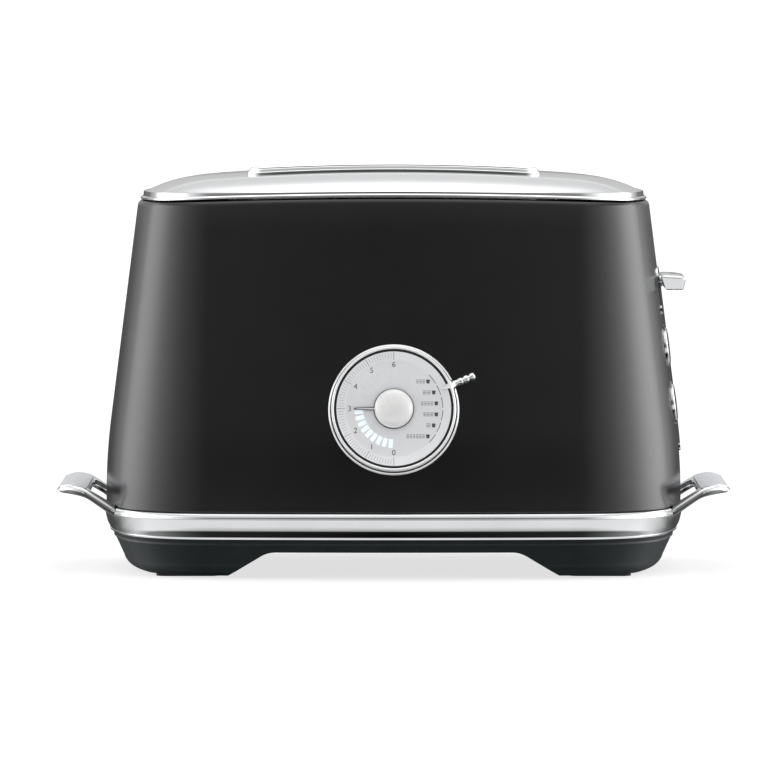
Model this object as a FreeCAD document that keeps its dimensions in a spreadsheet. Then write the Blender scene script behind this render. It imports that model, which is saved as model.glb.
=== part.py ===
"""Two-slice pop up toaster, modelled piece by piece in millimetres.

Frame: the origin is the centre of the footprint on the resting surface. +Z is up, the dial
faces -Y, and the lever and the buttons are on the +X end.
"""
import FreeCAD, Part
import math
import os
import re

import Sketcher
from FreeCAD import Placement, Rotation, Vector

DIMENSIONS = {
    # Plan outline of the body at its widest, and how its wall rises.
    "body_half_width": 147.3,
    "body_half_depth": 100.0,
    "front_bow_radius": 1200.0,
    "end_bow_radius": 215.0,
    "corner_radius": 50.0,
    "wall_slope": 0.127,
    "wall_foot": 38.0,
    "wall_foot_radius": 308.0,
    "shell_bottom": 34.0,
    "shell_gauge": 1.2,
    "shell_flange": 6.0,
    # The rim of the shell arches gently from end to end, and the lid sits on it.
    "rim_crest": 191.5,
    "rim_arch_radius": 2800.0,
    "lid_inset": 17.7,
    "lid_crest": 205.9,
    "lid_dome_radius": 2400.0,
    "lid_edge_drop": 7.0,
    "lid_edge_reach": 38.0,
    "lid_edge_power": 2.7,
    "lid_gauge": 1.5,
    "slot_half_length": 73.0,
    "slot_half_width": 18.0,
    "slot_offset": 34.0,
    "slot_corner": 6.0,
    "slot_rim": 1.2,
    "slot_rim_bottom": 194.0,
    # Chrome band and the moulded base under it.
    "band_bottom": 20.2,
    "band_top": 33.3,
    "band_proud": 0.9,
    "band_bevel": 2.0,
    "band_draft": 1.4,
    "band_inner_inset": 3.8,
    "base_rim_top": 36.0,
    "base_wall": 2.4,
    "base_shoulder_inset": 3.0,
    "base_foot_inset": 15.0,
    "foot_block_bottom": 1.2,
    "arch_height": 13.6,
    "arch_half_width": 63.4,
    "arch_flank_run": 22.0,
    "arch_crown_radius": 14.0,
    "base_floor": 1.6,
    "pad_length": 32.0,
    "pad_width": 26.0,
    "pad_height": 3.0,
    "pad_corner": 5.0,
    "pad_centre_x": 104.0,
    "pad_centre_y": 56.0,
    # Carrying handles at the two ends.
    "handle_half_span": 53.0,
    "handle_tip": 171.3,
    "handle_hole_half_span": 42.4,
    "handle_hole_edge": 155.0,
    "handle_plan_corner": 16.0,
    # Dial on the front wall.
    "dial_height": 85.6,
    "dial_face_radius": 28.7,
    "dial_flat_radius": 24.2,
    "dial_face_level": 8.0,
    "dial_face_gauge": 1.2,
    "dial_face_rise": 1.0,
    "housing_radius": 29.82,
    "housing_wall": 1.0,
    "housing_front": 8.6,
    "housing_back": -10.0,
    "flange_radius": 32.9,
    "flange_bore": 30.1,
    "flange_height": 2.0,
    "ring_bore": 29.9,
    "ring_radius": 31.3,
    "ring_back": 2.4,
    "ring_front": 10.4,
    "selector_angle": 22.5,
    "selector_reach": 44.0,
    "led_inner_radius": 15.2,
    "led_outer_radius": 19.7,
    "led_width": 2.1,
    "led_pitch": 10.0,
    "led_first_angle": 95.0,
    "led_count": 18.0,
    "knob_radius": 9.7,
    "knob_back": 8.3,
    "knob_front": 14.6,
    "needle_reach": 20.0,
    "needle_width": 1.5,
    "needle_gauge": 0.6,
    "shaft_radius": 3.0,
    "shaft_back": -13.0,
    "running_gap": 0.05,
    "dial_board_level": -8.0,
    "board_gauge": 1.6,
    # Lever, its track and the four buttons on the +X end.
    "lever_height": 146.6,
    "lever_travel": 80.0,
    "lever_half_height": 3.9,
    "lever_half_width": 23.0,
    "lever_corner": 2.5,
    "lever_tip": 149.2,
    "lever_inner_edge": 137.8,
    "stem_radius": 3.0,
    "stem_inner_end": 103.0,
    "track_half_width": 4.0,
    "track_frame_half_width": 6.0,
    "track_plate_half_width": 25.0,
    "track_plate_bottom": 130.0,
    "track_plate_top": 154.0,
    "track_proud": 0.8,
    "button_radius": 9.4,
    "button_offset": 17.5,
    "button_low": 85.0,
    "button_high": 114.0,
    "button_proud": 1.2,
    "button_travel": 1.6,
    "bezel_bore": 9.75,
    "bezel_barrel": 10.3,
    "bezel_radius": 10.9,
    # Chassis and toasting chambers.
    "floor_bottom": 36.0,
    "sheet_gauge": 1.2,
    "floor_inset": 4.8,
    "end_plate_x": 84.0,
    "end_plate_half_depth": 66.0,
    "chamber_top": 188.0,
    "shield_offset": 64.0,
    "shield_gauge": 0.6,
    "mica_gauge": 0.8,
    "mica_bottom": 46.0,
    "inner_board_offset": 9.0,
    "outer_board_offset": 58.0,
    "ribbon_width": 2.0,
    "ribbon_gauge": 0.3,
    "ribbon_rows": 9.0,
    "guide_wire_radius": 0.9,
    "guide_pivot_radius": 1.2,
    "guide_pivot_height": 44.0,
    "guide_top": 184.0,
    "guide_inner_offset": 13.5,
    "guide_outer_offset": 54.5,
    "rack_top": 128.0,
    "rack_gauge": 2.0,
    "rack_half_width": 4.0,
    "carriage_slot_half_width": 2.5,
    "carriage_bottom": 122.0,
    "carriage_top": 150.0,
    "block_bottom": 140.0,
    "block_top": 154.0,
    "block_inner": 88.0,
    "block_outer": 120.0,
    "block_half_width": 8.0,
    "rod_x": 97.0,
    "rod_radius": 3.0,
    "rod_top": 184.0,
    "spring_radius": 4.0,
    "spring_wire": 0.8,
    "spring_gap": 0.3,
    "spring_tab_gauge": 1.5,
    "spring_y": 17.0,
    "spring_turns": 9.0,
    "magnet_x": 112.0,
    "magnet_half_length": 8.0,
    "magnet_half_width": 8.0,
    "magnet_top": 56.8,
    "keeper_gauge": 3.0,
    # Crumb tray and cord inlet.
    "tray_half_width": 76.0,
    "tray_bottom": 15.5,
    "tray_top": 19.8,
    "tray_front": -60.0,
    "tray_gauge": 0.8,
    "gland_x": -84.0,
    "gland_height": 11.0,
    "gland_bore": 3.6,
    "gland_barrel": 5.0,
    "gland_radius": 6.5,
    "gland_collar": 90.5,
    "gland_face": 93.5,
    "gland_length": 14.0,
    "screw_radius": 1.5,
    "screw_post_radius": 4.0,
    "control_board_x": -102.0,
}

DOCUMENT = FreeCAD.newDocument("toaster")
SHEET = DOCUMENT.addObject("Spreadsheet::Sheet", "Dimensions")
PARTS = []


def fill_sheet():
    """Write the driving dimensions to the sheet, one named cell a row."""
    for row, (name, value) in enumerate(DIMENSIONS.items(), start=1):
        SHEET.set(f"A{row}", name)
        SHEET.set(f"B{row}", str(value))
        SHEET.setAlias(f"B{row}", name)
    DOCUMENT.recompute()


def dim(name):
    return float(SHEET.get(name))


def expand(formula):
    """Turn the dimension names in a formula into references to the sheet."""
    return re.sub(r"[a-z_]{3,}", lambda m: f"Dimensions.{m[0]}" if m[0] in DIMENSIONS else m[0], str(formula))


def value_of(formula):
    """The number that a formula of dimension names gives."""
    return float(SHEET.evalExpression(expand(formula)))


def bind(item, path, formula):
    item.setExpression(path, expand(formula))


def keep(item, placement=None):
    """List an object as one piece of the toaster, and put it in its place."""
    if placement is not None:
        item.Placement = placement
    PARTS.append(item)
    return item


# ---------------------------------------------------------------- building blocks


def primitive(kind, label, sizes, at):
    """A Part primitive with its sizes and its place bound to the sheet."""
    item = DOCUMENT.addObject(f"Part::{kind}", label)
    for size, formula in sizes.items():
        bind(item, size, formula)
    for axis, formula in zip("xyz", at):
        bind(item, f"Placement.Base.{axis}", formula)
    return item


def box(label, size, corner):
    return primitive("Box", label, dict(zip(("Length", "Width", "Height"), size)), corner)


def cylinder(label, radius, length, at, axis="z"):
    item = primitive("Cylinder", label, {"Radius": radius, "Height": length}, at)
    turn = {"x": Rotation(Vector(0, 1, 0), 90), "y": Rotation(Vector(1, 0, 0), -90), "z": Rotation()}
    bind(item, "Placement.Rotation.Axis.x", turn[axis].Axis.x)
    bind(item, "Placement.Rotation.Axis.y", turn[axis].Axis.y)
    bind(item, "Placement.Rotation.Axis.z", turn[axis].Axis.z)
    bind(item, "Placement.Rotation.Angle", math.degrees(turn[axis].Angle))
    return item


def group(label, items):
    """Several loose solids of one kind that share a node."""
    item = DOCUMENT.addObject("Part::Compound", label)
    item.Links = items
    return item


def fuse(label, items):
    item = DOCUMENT.addObject("Part::MultiFuse", label)
    item.Shapes = items
    return item


def cut(label, base, tools):
    """The base with every tool taken out of it."""
    tool = tools[0] if len(tools) == 1 else fuse(label + "_tools", tools)
    item = DOCUMENT.addObject("Part::Cut", label)
    item.Base = base
    item.Tool = tool
    return item


def solid(label, shape):
    """A shape that neither a body nor a primitive suits."""
    item = DOCUMENT.addObject("Part::Feature", label)
    item.Shape = shape
    return item


def new_body(label, placement=None):
    body = DOCUMENT.addObject("PartDesign::Body", label)
    if placement is not None:
        body.Placement = placement
    return body


def new_sketch(body, plane="XY_Plane", level="0"):
    """A sketch on one of the body's own origin planes, raised to a level above it."""
    sketch = body.newObject("Sketcher::SketchObject", body.Name + "_sketch")
    origin_plane = [item for item in body.Origin.OriginFeatures if item.Role == plane][0]
    sketch.AttachmentSupport = [(origin_plane, "")]
    sketch.MapMode = "FlatFace"
    bind(sketch, "AttachmentOffset.Base.z", level)
    return sketch


def hold(sketch, geometry, corner, axis, formula):
    """Fix one coordinate of a sketch point to a formula of the sheet."""
    number = value_of(formula)
    kind = "DistanceX" if axis == 0 else "DistanceY"
    if abs(number) < 1e-9:
        sketch.addConstraint(Sketcher.Constraint("PointOnObject", geometry, corner, -2 if axis == 0 else -1))
        return
    ends = (-1, 1, geometry, corner) if number > 0 else (geometry, corner, -1, 1)
    index = sketch.addConstraint(Sketcher.Constraint(kind, *ends, abs(number)))
    bind(sketch, f"Constraints[{index}]", formula if number > 0 else f"-({formula})")


def polygon(sketch, points):
    """A closed outline of straight runs through points given as pairs of formulas."""
    spots = [Vector(value_of(x), value_of(y), 0) for x, y in points]
    first = sketch.GeometryCount
    count = len(spots)
    for index in range(count):
        sketch.addGeometry(Part.LineSegment(spots[index], spots[(index + 1) % count]))
    for index in range(count):
        following = first + (index + 1) % count
        sketch.addConstraint(Sketcher.Constraint("Coincident", first + index, 2, following, 1))
    for index, point in enumerate(points):
        for axis in (0, 1):
            hold(sketch, first + index, 1, axis, point[axis])


def circle(sketch, radius, centre=("0", "0")):
    spot = Vector(value_of(centre[0]), value_of(centre[1]), 0)
    index = sketch.addGeometry(Part.Circle(spot, Vector(0, 0, 1), value_of(radius)))
    if spot.Length < 1e-9:
        sketch.addConstraint(Sketcher.Constraint("Coincident", index, 3, -1, 1))
    else:
        for axis in (0, 1):
            hold(sketch, index, 3, axis, centre[axis])
    constraint = sketch.addConstraint(Sketcher.Constraint("Radius", index, value_of(radius)))
    bind(sketch, f"Constraints[{constraint}]", radius)


def pad(body, sketch, length):
    """Raise a sketch by a length, along its own normal."""
    feature = body.newObject("PartDesign::Pad", body.Name + "_pad")
    feature.Profile = sketch
    bind(feature, "Length", length)
    return feature


def turned(body, points, role="XZ_Plane"):
    """A turned piece: a profile of (radius, height) points spun about the body's own Z axis."""
    sketch = new_sketch(body, role)
    polygon(sketch, points)
    feature = body.newObject("PartDesign::Revolution", body.Name + "_turned")
    feature.Profile = sketch
    feature.ReferenceAxis = (sketch, ["V_Axis"])
    feature.Angle = 360
    return feature


def pierce(body, length, draw, level="0"):
    """Cut whatever `draw` sketches straight down from a level, and check that it removed metal."""
    DOCUMENT.recompute()
    before = body.Shape.Volume
    sketch = new_sketch(body, level=level)
    draw(sketch)
    feature = body.newObject("PartDesign::Pocket", body.Name + "_pocket")
    feature.Profile = sketch
    bind(feature, "Length", length)
    DOCUMENT.recompute()
    assert body.Shape.Volume < before - 1e-6, f"{body.Name}: the pocket cut nothing"
    return feature


def rounded(body, base, edges, radius):
    """Round some edges of the body's last feature, picked by a test on each edge."""
    DOCUMENT.recompute()
    names = [f"Edge{n}" for n, edge in enumerate(base.Shape.Edges, start=1) if edges(edge)]
    feature = body.newObject("PartDesign::Fillet", body.Name + "_fillet")
    feature.Base = (base, names)
    feature.Radius = radius
    return feature


# ---------------------------------------------------------------- the body's outline and wall


def outline_centres():
    """Centres of the front's bow, the end's bow and the round corner that is tangent to both."""
    corner = dim("corner_radius")
    front_centre = Vector(0, dim("body_half_depth") - dim("front_bow_radius"), 0)
    end_centre = Vector(dim("body_half_width") - dim("end_bow_radius"), 0, 0)
    to_front = dim("front_bow_radius") - corner
    to_end = dim("end_bow_radius") - corner
    span = end_centre - front_centre
    along = (to_front**2 - to_end**2 + span.Length**2) / (2 * span.Length)
    across = math.sqrt(to_front**2 - along**2)
    way = Vector(span).normalize()
    return front_centre, end_centre, front_centre + way * along + Vector(way.y, -way.x, 0) * across


def outline(inset, level=0.0):
    """Plan outline at an inset: bowed front, rear and ends joined by round corners, all tangent."""
    half_width = dim("body_half_width") - inset
    half_depth = dim("body_half_depth") - inset
    front = dim("front_bow_radius") - inset
    end = dim("end_bow_radius") - inset
    corner = dim("corner_radius") - inset
    front_centre, end_centre, centre = outline_centres()
    front_end = front_centre + (centre - front_centre).normalize() * front
    end_end = end_centre + (centre - end_centre).normalize() * end
    middle = centre + ((front_end - centre).normalize() + (end_end - centre).normalize()).normalize() * corner
    quarter = [Vector(half_width, 0, 0), end_end, middle, front_end, Vector(0, half_depth, 0)]

    def placed(spot, side_x, side_y):
        return Vector(spot.x * side_x, spot.y * side_y, level)

    def arc_between(centre_spot, start, stop, side_x, side_y):
        radius = (start - centre_spot).Length
        halfway = centre_spot + ((start - centre_spot) + (stop - centre_spot)).normalize() * radius
        return Part.Arc(*[placed(s, side_x, side_y) for s in (start, halfway, stop)]).toShape()

    edges = []
    for side_x, side_y, order in ((1, 1, 1), (-1, 1, -1), (-1, -1, 1), (1, -1, -1)):
        pieces = [
            arc_between(end_centre, quarter[0], quarter[1], side_x, side_y),
            Part.Arc(*[placed(s, side_x, side_y) for s in quarter[1:4]]).toShape(),
            arc_between(front_centre, quarter[3], quarter[4], side_x, side_y),
        ]
        edges += pieces[::order]
    return Part.Wire(edges)


def prism(inset, low, high):
    """An upright block with the plan outline at an inset."""
    return Part.Face(outline(inset, low)).extrude(Vector(0, 0, high - low))


def swept(edges):
    """A ring: a closed profile in the XZ plane carried round the plan outline."""
    pipe = Part.BRepOffsetAPI.MakePipeShell(outline(0))
    pipe.setFrenetMode(True)
    pipe.add(Part.Wire(edges), False, False)
    pipe.build()
    pipe.makeSolid()
    return pipe.shape()


def chain(points):
    """Straight edges through (x, z) points of the XZ plane, closed."""
    spots = [Vector(x, 0, z) for x, z in points]
    return [Part.LineSegment(a, b).toShape() for a, b in zip(spots, spots[1:] + spots[:1])]


def wall_bend_top():
    """Height where the curved foot of the wall meets its straight slope."""
    return dim("wall_foot") + dim("wall_foot_radius") * math.sin(math.atan(dim("wall_slope")))


def wall_inset(height):
    """How far the wall has come in from the base outline at a height."""
    radius = dim("wall_foot_radius")
    bend_top = wall_bend_top()
    rise = min(max(height, dim("wall_foot")), bend_top) - dim("wall_foot")
    return radius - math.sqrt(radius**2 - rise**2) + dim("wall_slope") * max(height - bend_top, 0)


def wall_block(offset, low, high):
    """Everything inside the body's wall, moved in by an offset, between two heights."""
    overlap = 4.0
    core = dim("corner_radius") - 2 * overlap
    edge = dim("body_half_width") - offset
    bend = wall_bend_top()
    foot = max(low, dim("wall_foot"))
    middle = (foot + bend) / 2
    spots = [Vector(edge - wall_inset(z), 0, z) for z in (foot, middle, bend, high)]
    inner = dim("body_half_width") - core
    edges = [Part.Arc(spots[0], spots[1], spots[2]).toShape(), Part.LineSegment(spots[2], spots[3]).toShape()]
    start = spots[0]
    if low < foot:
        start = Vector(edge, 0, low)
        edges.insert(0, Part.LineSegment(start, spots[0]).toShape())
    corners = [spots[3], Vector(inner, 0, high), Vector(inner, 0, low), start]
    edges += [Part.LineSegment(a, b).toShape() for a, b in zip(corners, corners[1:])]
    return swept(edges).fuse(prism(core - overlap, low, high)).removeSplitter()


def under_arch(drop):
    """Everything under the arched rim, lowered by a drop: a huge lying cylinder."""
    radius = dim("rim_arch_radius")
    width = 4 * dim("body_half_depth")
    axis_point = Vector(0, -width / 2, dim("rim_crest") - drop - radius)
    return Part.makeCylinder(radius, width, axis_point, Vector(0, 1, 0))


def block(low, high):
    """A plain box between two corners."""
    size = [b - a for a, b in zip(low, high)]
    return Part.makeBox(*size, Vector(*low))


def round_slot(side, grow, low, high):
    """The upright outline of one toast slot, grown all round."""
    half_length = dim("slot_half_length") + grow
    half_width = dim("slot_half_width") + grow
    middle = side * dim("slot_offset")
    shape = block((-half_length, middle - half_width, low), (half_length, middle + half_width, high))
    upright = [e for e in shape.Edges if abs(e.Vertexes[0].Z - e.Vertexes[1].Z) > 1]
    return shape.makeFillet(dim("slot_corner") + grow, upright)


# ---------------------------------------------------------------- frames for the dial and the buttons


def lean():
    """Angle between the body's wall and the vertical, in degrees."""
    return math.degrees(math.atan(dim("wall_slope")))


def dial_frame(turn=0.0, level=0.0):
    """Local Z leaves the front wall at the dial's centre, and local X points right, then turned."""
    height = dim("dial_height")
    centre = Vector(0, wall_inset(height) - dim("body_half_depth"), height)
    tilt = Rotation(Vector(1, 0, 0), 90 - lean())
    return Placement(centre, tilt) * Placement(Vector(0, 0, level), Rotation(Vector(0, 0, 1), turn))


def end_frame(side, height):
    """Local Z leaves the +X end wall at a button's centre, and local X points down the wall."""
    offset = side * dim("button_offset")
    inset = wall_inset(height)
    bow = dim("end_bow_radius") - inset
    swing = math.degrees(math.asin(offset / bow))
    reach = dim("body_half_width") - inset - bow + bow * math.cos(math.radians(swing))
    turn = Rotation(Vector(0, 0, 1), swing) * Rotation(Vector(0, 1, 0), 90 - lean())
    return Placement(Vector(reach, offset, height), turn)


def drill(frame, radius, low, high):
    """A round cutter along a frame's own Z axis."""
    shape = Part.makeCylinder(radius, high - low, Vector(0, 0, low))
    shape.Placement = frame
    return shape


BUTTONS = {
    "button_upper_front": (-1, "button_high"),
    "button_upper_rear": (1, "button_high"),
    "button_lower_front": (-1, "button_low"),
    "button_lower_rear": (1, "button_low"),
}
ENDS = {"left": -1, "right": 1}
SIDES = {"front": -1, "rear": 1}


# ---------------------------------------------------------------- outside: shell, lid, band, base


def make_outer_shell():
    """Pressed steel wrap with an inward flange under the lid, and its cut-outs."""
    gauge = dim("shell_gauge")
    low = dim("shell_bottom")
    high = dim("rim_crest") + 4
    outside = wall_block(0, low, high).common(under_arch(0))
    inside = wall_block(gauge, low - 1, high).common(under_arch(gauge))
    mouth = prism(wall_inset(high) + dim("shell_flange"), high - 30, high + 2)
    dial_hole = drill(dial_frame(), dim("housing_radius") + 0.1, -20, 10)
    stem = dim("stem_radius") + 1
    track = dim("track_half_width")
    lever = dim("lever_height")
    slot = block((100, -track, lever - dim("lever_travel") - stem), (160, track, lever + stem))
    hole_radius = dim("bezel_barrel") + 0.05
    holes = [drill(end_frame(side, dim(name)), hole_radius, -10, 10) for side, name in BUTTONS.values()]
    keep(solid("outer_shell", outside.cut([inside, mouth, dial_hole, slot] + holes)))


def rim_distance(x, y, inset):
    """How far a point of the plan lies inside the outline at an inset."""
    front_centre, end_centre, centre = outline_centres()
    spot = Vector(abs(x), abs(y), 0)
    away = spot - centre
    past_front = (centre - front_centre).cross(away).z < 0
    past_end = (centre - end_centre).cross(away).z > 0
    if past_front and past_end:
        return dim("corner_radius") - inset - away.Length
    to_front = dim("front_bow_radius") - (spot - front_centre).Length
    to_end = dim("end_bow_radius") - (spot - end_centre).Length
    return min(to_front, to_end) - inset


def lid_height(x, y):
    """Top face of the lid: an arched dome that falls away towards its rim."""
    arch = x**2 / (2 * dim("rim_arch_radius"))
    dome = (x**2 + y**2) / (2 * dim("lid_dome_radius"))
    share = max(1 - max(rim_distance(x, y, dim("lid_inset")), 0) / dim("lid_edge_reach"), 0)
    return dim("lid_crest") - arch - dome - dim("lid_edge_drop") * share ** dim("lid_edge_power")


def lid_block(drop, inset):
    """Everything under the lid's top face lowered by a drop, within the lid's outline."""
    half_width = dim("body_half_width") - dim("lid_inset") + 2
    half_depth = dim("body_half_depth") - dim("lid_inset") + 2
    columns, rows = 41, 27
    grid = []
    for i in range(columns):
        x = half_width * (2 * i / (columns - 1) - 1)
        line = [half_depth * (2 * j / (rows - 1) - 1) for j in range(rows)]
        grid.append([Vector(x, y, lid_height(x, y) - drop) for y in line])
    surface = Part.BSplineSurface()
    surface.approximate(Points=grid, DegMin=3, DegMax=5, Tolerance=0.05)
    under = surface.toShape().extrude(Vector(0, 0, -40))
    return prism(dim("lid_inset") + inset, dim("rim_crest") - 12, dim("lid_crest") + 2).common(under)


def make_top_lid():
    """Chrome lid: a domed skin on an arched lip, with turned-down rims round both toast slots."""
    gauge = dim("lid_gauge")
    skin = lid_block(0, 0).cut(lid_block(gauge, gauge)).cut(under_arch(0))
    under_top = lid_block(0.2, 2 * gauge)
    low = dim("slot_rim_bottom")
    for side in SIDES.values():
        tube = round_slot(side, dim("slot_rim"), low, dim("lid_crest") + 2).common(under_top)
        skin = skin.fuse(tube)
    for side in SIDES.values():
        skin = skin.cut(round_slot(side, 0, low - 1, dim("lid_crest") + 3))
    keep(solid("top_lid", skin.removeSplitter()))


def make_base_band():
    """Chrome band: a bevelled top edge, a face that leans in downwards and a rolled-under bottom edge."""
    outer = dim("body_half_width") + dim("band_proud")
    inner = dim("body_half_width") - dim("band_inner_inset")
    low = dim("band_bottom")
    high = dim("band_top")
    bevel = dim("band_bevel")
    draft = dim("band_draft")
    roll = 2 * bevel
    corners = [
        Vector(outer - draft, 0, low + roll),
        Vector(outer, 0, high - bevel),
        Vector(outer - bevel, 0, high),
        Vector(inner, 0, high),
        Vector(inner, 0, low),
        Vector(outer - 1.6 * bevel, 0, low),
    ]
    halfway = Vector(outer - draft - 0.55, 0, low + 0.45 * roll)
    edges = [Part.LineSegment(a, b).toShape() for a, b in zip(corners, corners[1:])]
    edges.append(Part.Arc(corners[-1], halfway, corners[0]).toShape())
    keep(solid("base_band", swept(edges)))


def make_rim_gasket():
    """Thin dark gasket that the shell stands on, set back to leave a shadow line."""
    outer = dim("body_half_width") - 0.8
    inner = dim("body_half_width") - dim("band_inner_inset")
    low, high = dim("band_top"), dim("shell_bottom")
    keep(solid("rim_gasket", swept(chain([(inner, low), (outer, low), (outer, high), (inner, high)]))))


def bowl(offset, floor):
    """The base's outer form, moved in by an offset, above a floor."""
    edge = dim("body_half_width") - offset
    top = Vector(edge - dim("base_shoulder_inset"), 0, dim("band_bottom"))
    knee = Vector(edge - 9.0, 0, 7.2)
    toe = Vector(edge - dim("base_foot_inset"), 0, dim("foot_block_bottom"))
    halfway = Vector(edge - 11.4, 0, 3.2)
    inner = dim("body_half_width") - 34
    corners = [toe, Vector(inner, 0, toe.z), Vector(inner, 0, top.z), top]
    edges = [Part.LineSegment(top, knee).toShape(), Part.Arc(knee, halfway, toe).toShape()]
    edges += [Part.LineSegment(a, b).toShape() for a, b in zip(corners, corners[1:])]
    whole = swept(edges).fuse(prism(30, toe.z, top.z)).removeSplitter()
    return whole.common(block((-200, -150, floor), (200, 150, 60)))


def arch(grow):
    """The tunnel under the base, front to rear, grown by a wall's thickness."""
    half = dim("arch_half_width") + grow / 2
    top = dim("arch_height") + grow
    run = dim("arch_flank_run") * (top + 2) / dim("arch_height")
    points = [(-half - run, -2), (half + run, -2), (half, top), (-half, top)]
    depth = 1.5 * dim("body_half_depth")
    face = Part.Face(Part.Wire([
        Part.LineSegment(Vector(a[0], -depth, a[1]), Vector(b[0], -depth, b[1])).toShape()
        for a, b in zip(points, points[1:] + points[:1])
    ]))
    shape = face.extrude(Vector(0, 2 * depth, 0))
    crown = [e for e in shape.Edges if min(v.Z for v in e.Vertexes) > top - 0.1 and e.BoundBox.YLength > 1]
    return shape.makeFillet(dim("arch_crown_radius"), crown)


def tray_block(gap):
    """The space of the crumb tray, grown by a gap."""
    half = dim("tray_half_width") + gap
    low = (-half, dim("tray_front") - gap, dim("tray_bottom") - gap)
    return block(low, (half, 1.2 * dim("body_half_depth"), dim("tray_top") + gap))


SCREW_PLACES = [(x, y) for x in (-118.0, 118.0) for y in (-54.0, 54.0)]


def make_base_moulding():
    """Hollow moulded base: a flared plinth with a tunnel between its two foot blocks."""
    wall = dim("base_wall")
    rim_outer = dim("body_half_width") - dim("band_inner_inset") - 0.1
    rim = swept(chain([
        (rim_outer - wall, dim("band_bottom") - 3),
        (rim_outer, dim("band_bottom") - 3),
        (rim_outer, dim("base_rim_top")),
        (rim_outer - wall, dim("base_rim_top")),
    ]))
    foot_floor = dim("foot_block_bottom") + 3.4
    top = dim("base_rim_top") + 5
    mouth = prism(dim("band_inner_inset") + wall + 0.1, dim("band_bottom") - 0.1, top)
    hollow = bowl(wall + 0.6, foot_floor).fuse(mouth).cut(arch(dim("base_floor")))
    shape = bowl(0, 0).fuse(rim).cut(hollow).cut(arch(0))
    posts = []
    for x, y in SCREW_PLACES:
        length = dim("base_rim_top") - foot_floor + 0.5
        posts.append(Part.makeCylinder(dim("screw_post_radius"), length, Vector(x, y, foot_floor - 0.5)))
    shape = shape.fuse(posts)
    holes = [Part.makeCylinder(dim("screw_radius"), 16, Vector(x, y, top - 20)) for x, y in SCREW_PLACES]
    opening = tray_block(0.3).common(block((-200, 40, 0), (200, 200, 100)))
    gland_axis = Vector(0, 1, 0)
    middle = Vector(dim("gland_x"), 70, dim("gland_height"))
    collar = Vector(dim("gland_x"), dim("gland_collar"), dim("gland_height"))
    gland = [
        Part.makeCylinder(dim("gland_barrel"), 40, middle, gland_axis),
        Part.makeCylinder(dim("gland_radius"), 20, collar, gland_axis),
    ]
    pads = [pad_space(x, y) for x, y in pad_places()]
    keep(solid("base_moulding", shape.cut(holes + [opening] + gland + pads).removeSplitter()))


def pad_places():
    return [(x * dim("pad_centre_x"), y * dim("pad_centre_y")) for x in (-1, 1) for y in (-1, 1)]


def pad_space(x, y):
    """Recess for a rubber pad."""
    length, width = dim("pad_length"), dim("pad_width")
    shape = block((x - length / 2, y - width / 2, -1), (x + length / 2, y + width / 2, dim("pad_height")))
    upright = [e for e in shape.Edges if e.BoundBox.ZLength > 1]
    return shape.makeFillet(dim("pad_corner"), upright)


def make_rubber_feet():
    """Four rubber pads let into the foot blocks."""
    feet = []
    half = ("pad_length / 2", "pad_width / 2")
    corners = [(f"{i} * {half[0]}", f"{j} * {half[1]}") for i, j in ((-1, -1), (1, -1), (1, 1), (-1, 1))]
    for index, (x, y) in enumerate(pad_places(), start=1):
        body = new_body(f"rubber_foot_{index}", Placement(Vector(x, y, 0), Rotation()))
        sketch = new_sketch(body)
        polygon(sketch, corners)
        block_pad = pad(body, sketch, "pad_height")
        rounded(body, block_pad, lambda edge: edge.BoundBox.ZLength > 1, dim("pad_corner"))
        feet.append(body)
    keep(group("rubber_feet", feet))


def make_handles():
    """Cast loops at the two ends: two arms rise from the band and join in a flat grip."""
    tip = dim("handle_tip")
    top = [(140, 33.4), (150.2, 39.8), (156.8, 43.5), (164.0, 45.0), (tip - 1.6, 43.7)]
    bottom = [(tip - 1.6, 40.4), (165.0, 40.3), (156.8, 38.5), (151.0, 34.9), (146.0, 31.4), (140, 27.6)]
    span = dim("handle_half_span")

    def curve(points):
        spline = Part.BSplineCurve()
        spline.interpolate([Vector(x, -span, z) for x, z in points])
        return spline.toShape()

    nose = Part.Arc(*[Vector(x, -span, z) for x, z in (top[-1], (tip, 42.1), bottom[0])]).toShape()
    root = Part.LineSegment(*[Vector(x, -span, z) for x, z in (bottom[-1], top[0])]).toShape()
    bar = Part.Face(Part.Wire([curve(top), nose, curve(bottom), root])).extrude(Vector(0, 2 * span, 0))
    plan = block((100, -span, 0), (tip, span, 80))
    tips = [e for e in plan.Edges if e.BoundBox.ZLength > 1 and e.BoundBox.XMin > tip - 1]
    plan = plan.makeFillet(dim("handle_plan_corner"), tips)
    hole_span = dim("handle_hole_half_span")
    hole = block((90, -hole_span, 0), (dim("handle_hole_edge"), hole_span, 80))
    corners = [e for e in hole.Edges if e.BoundBox.ZLength > 1 and e.BoundBox.XMin > 120]
    hole = hole.makeFillet(5.0, corners)
    inside = prism(-dim("running_gap"), 0, 80)
    loop = bar.common(plan).cut([hole, inside, DOCUMENT.getObject("base_band").Shape])
    for name, side in ENDS.items():
        shape = loop if side > 0 else loop.mirror(Vector(), Vector(1, 0, 0))
        keep(solid(f"handle_{name}", shape))


# ---------------------------------------------------------------- the dial


def make_dial_flange():
    """Chrome escutcheon ring on the front wall."""
    body = new_body("dial_flange")
    edge = "flange_radius - 0.8"
    turned(body, [
        ("flange_bore", "0"),
        ("flange_radius", "0"),
        ("flange_radius", "flange_height - 0.8"),
        (edge, "flange_height"),
        ("flange_bore", "flange_height"),
    ])
    keep(body, dial_frame())


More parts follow.
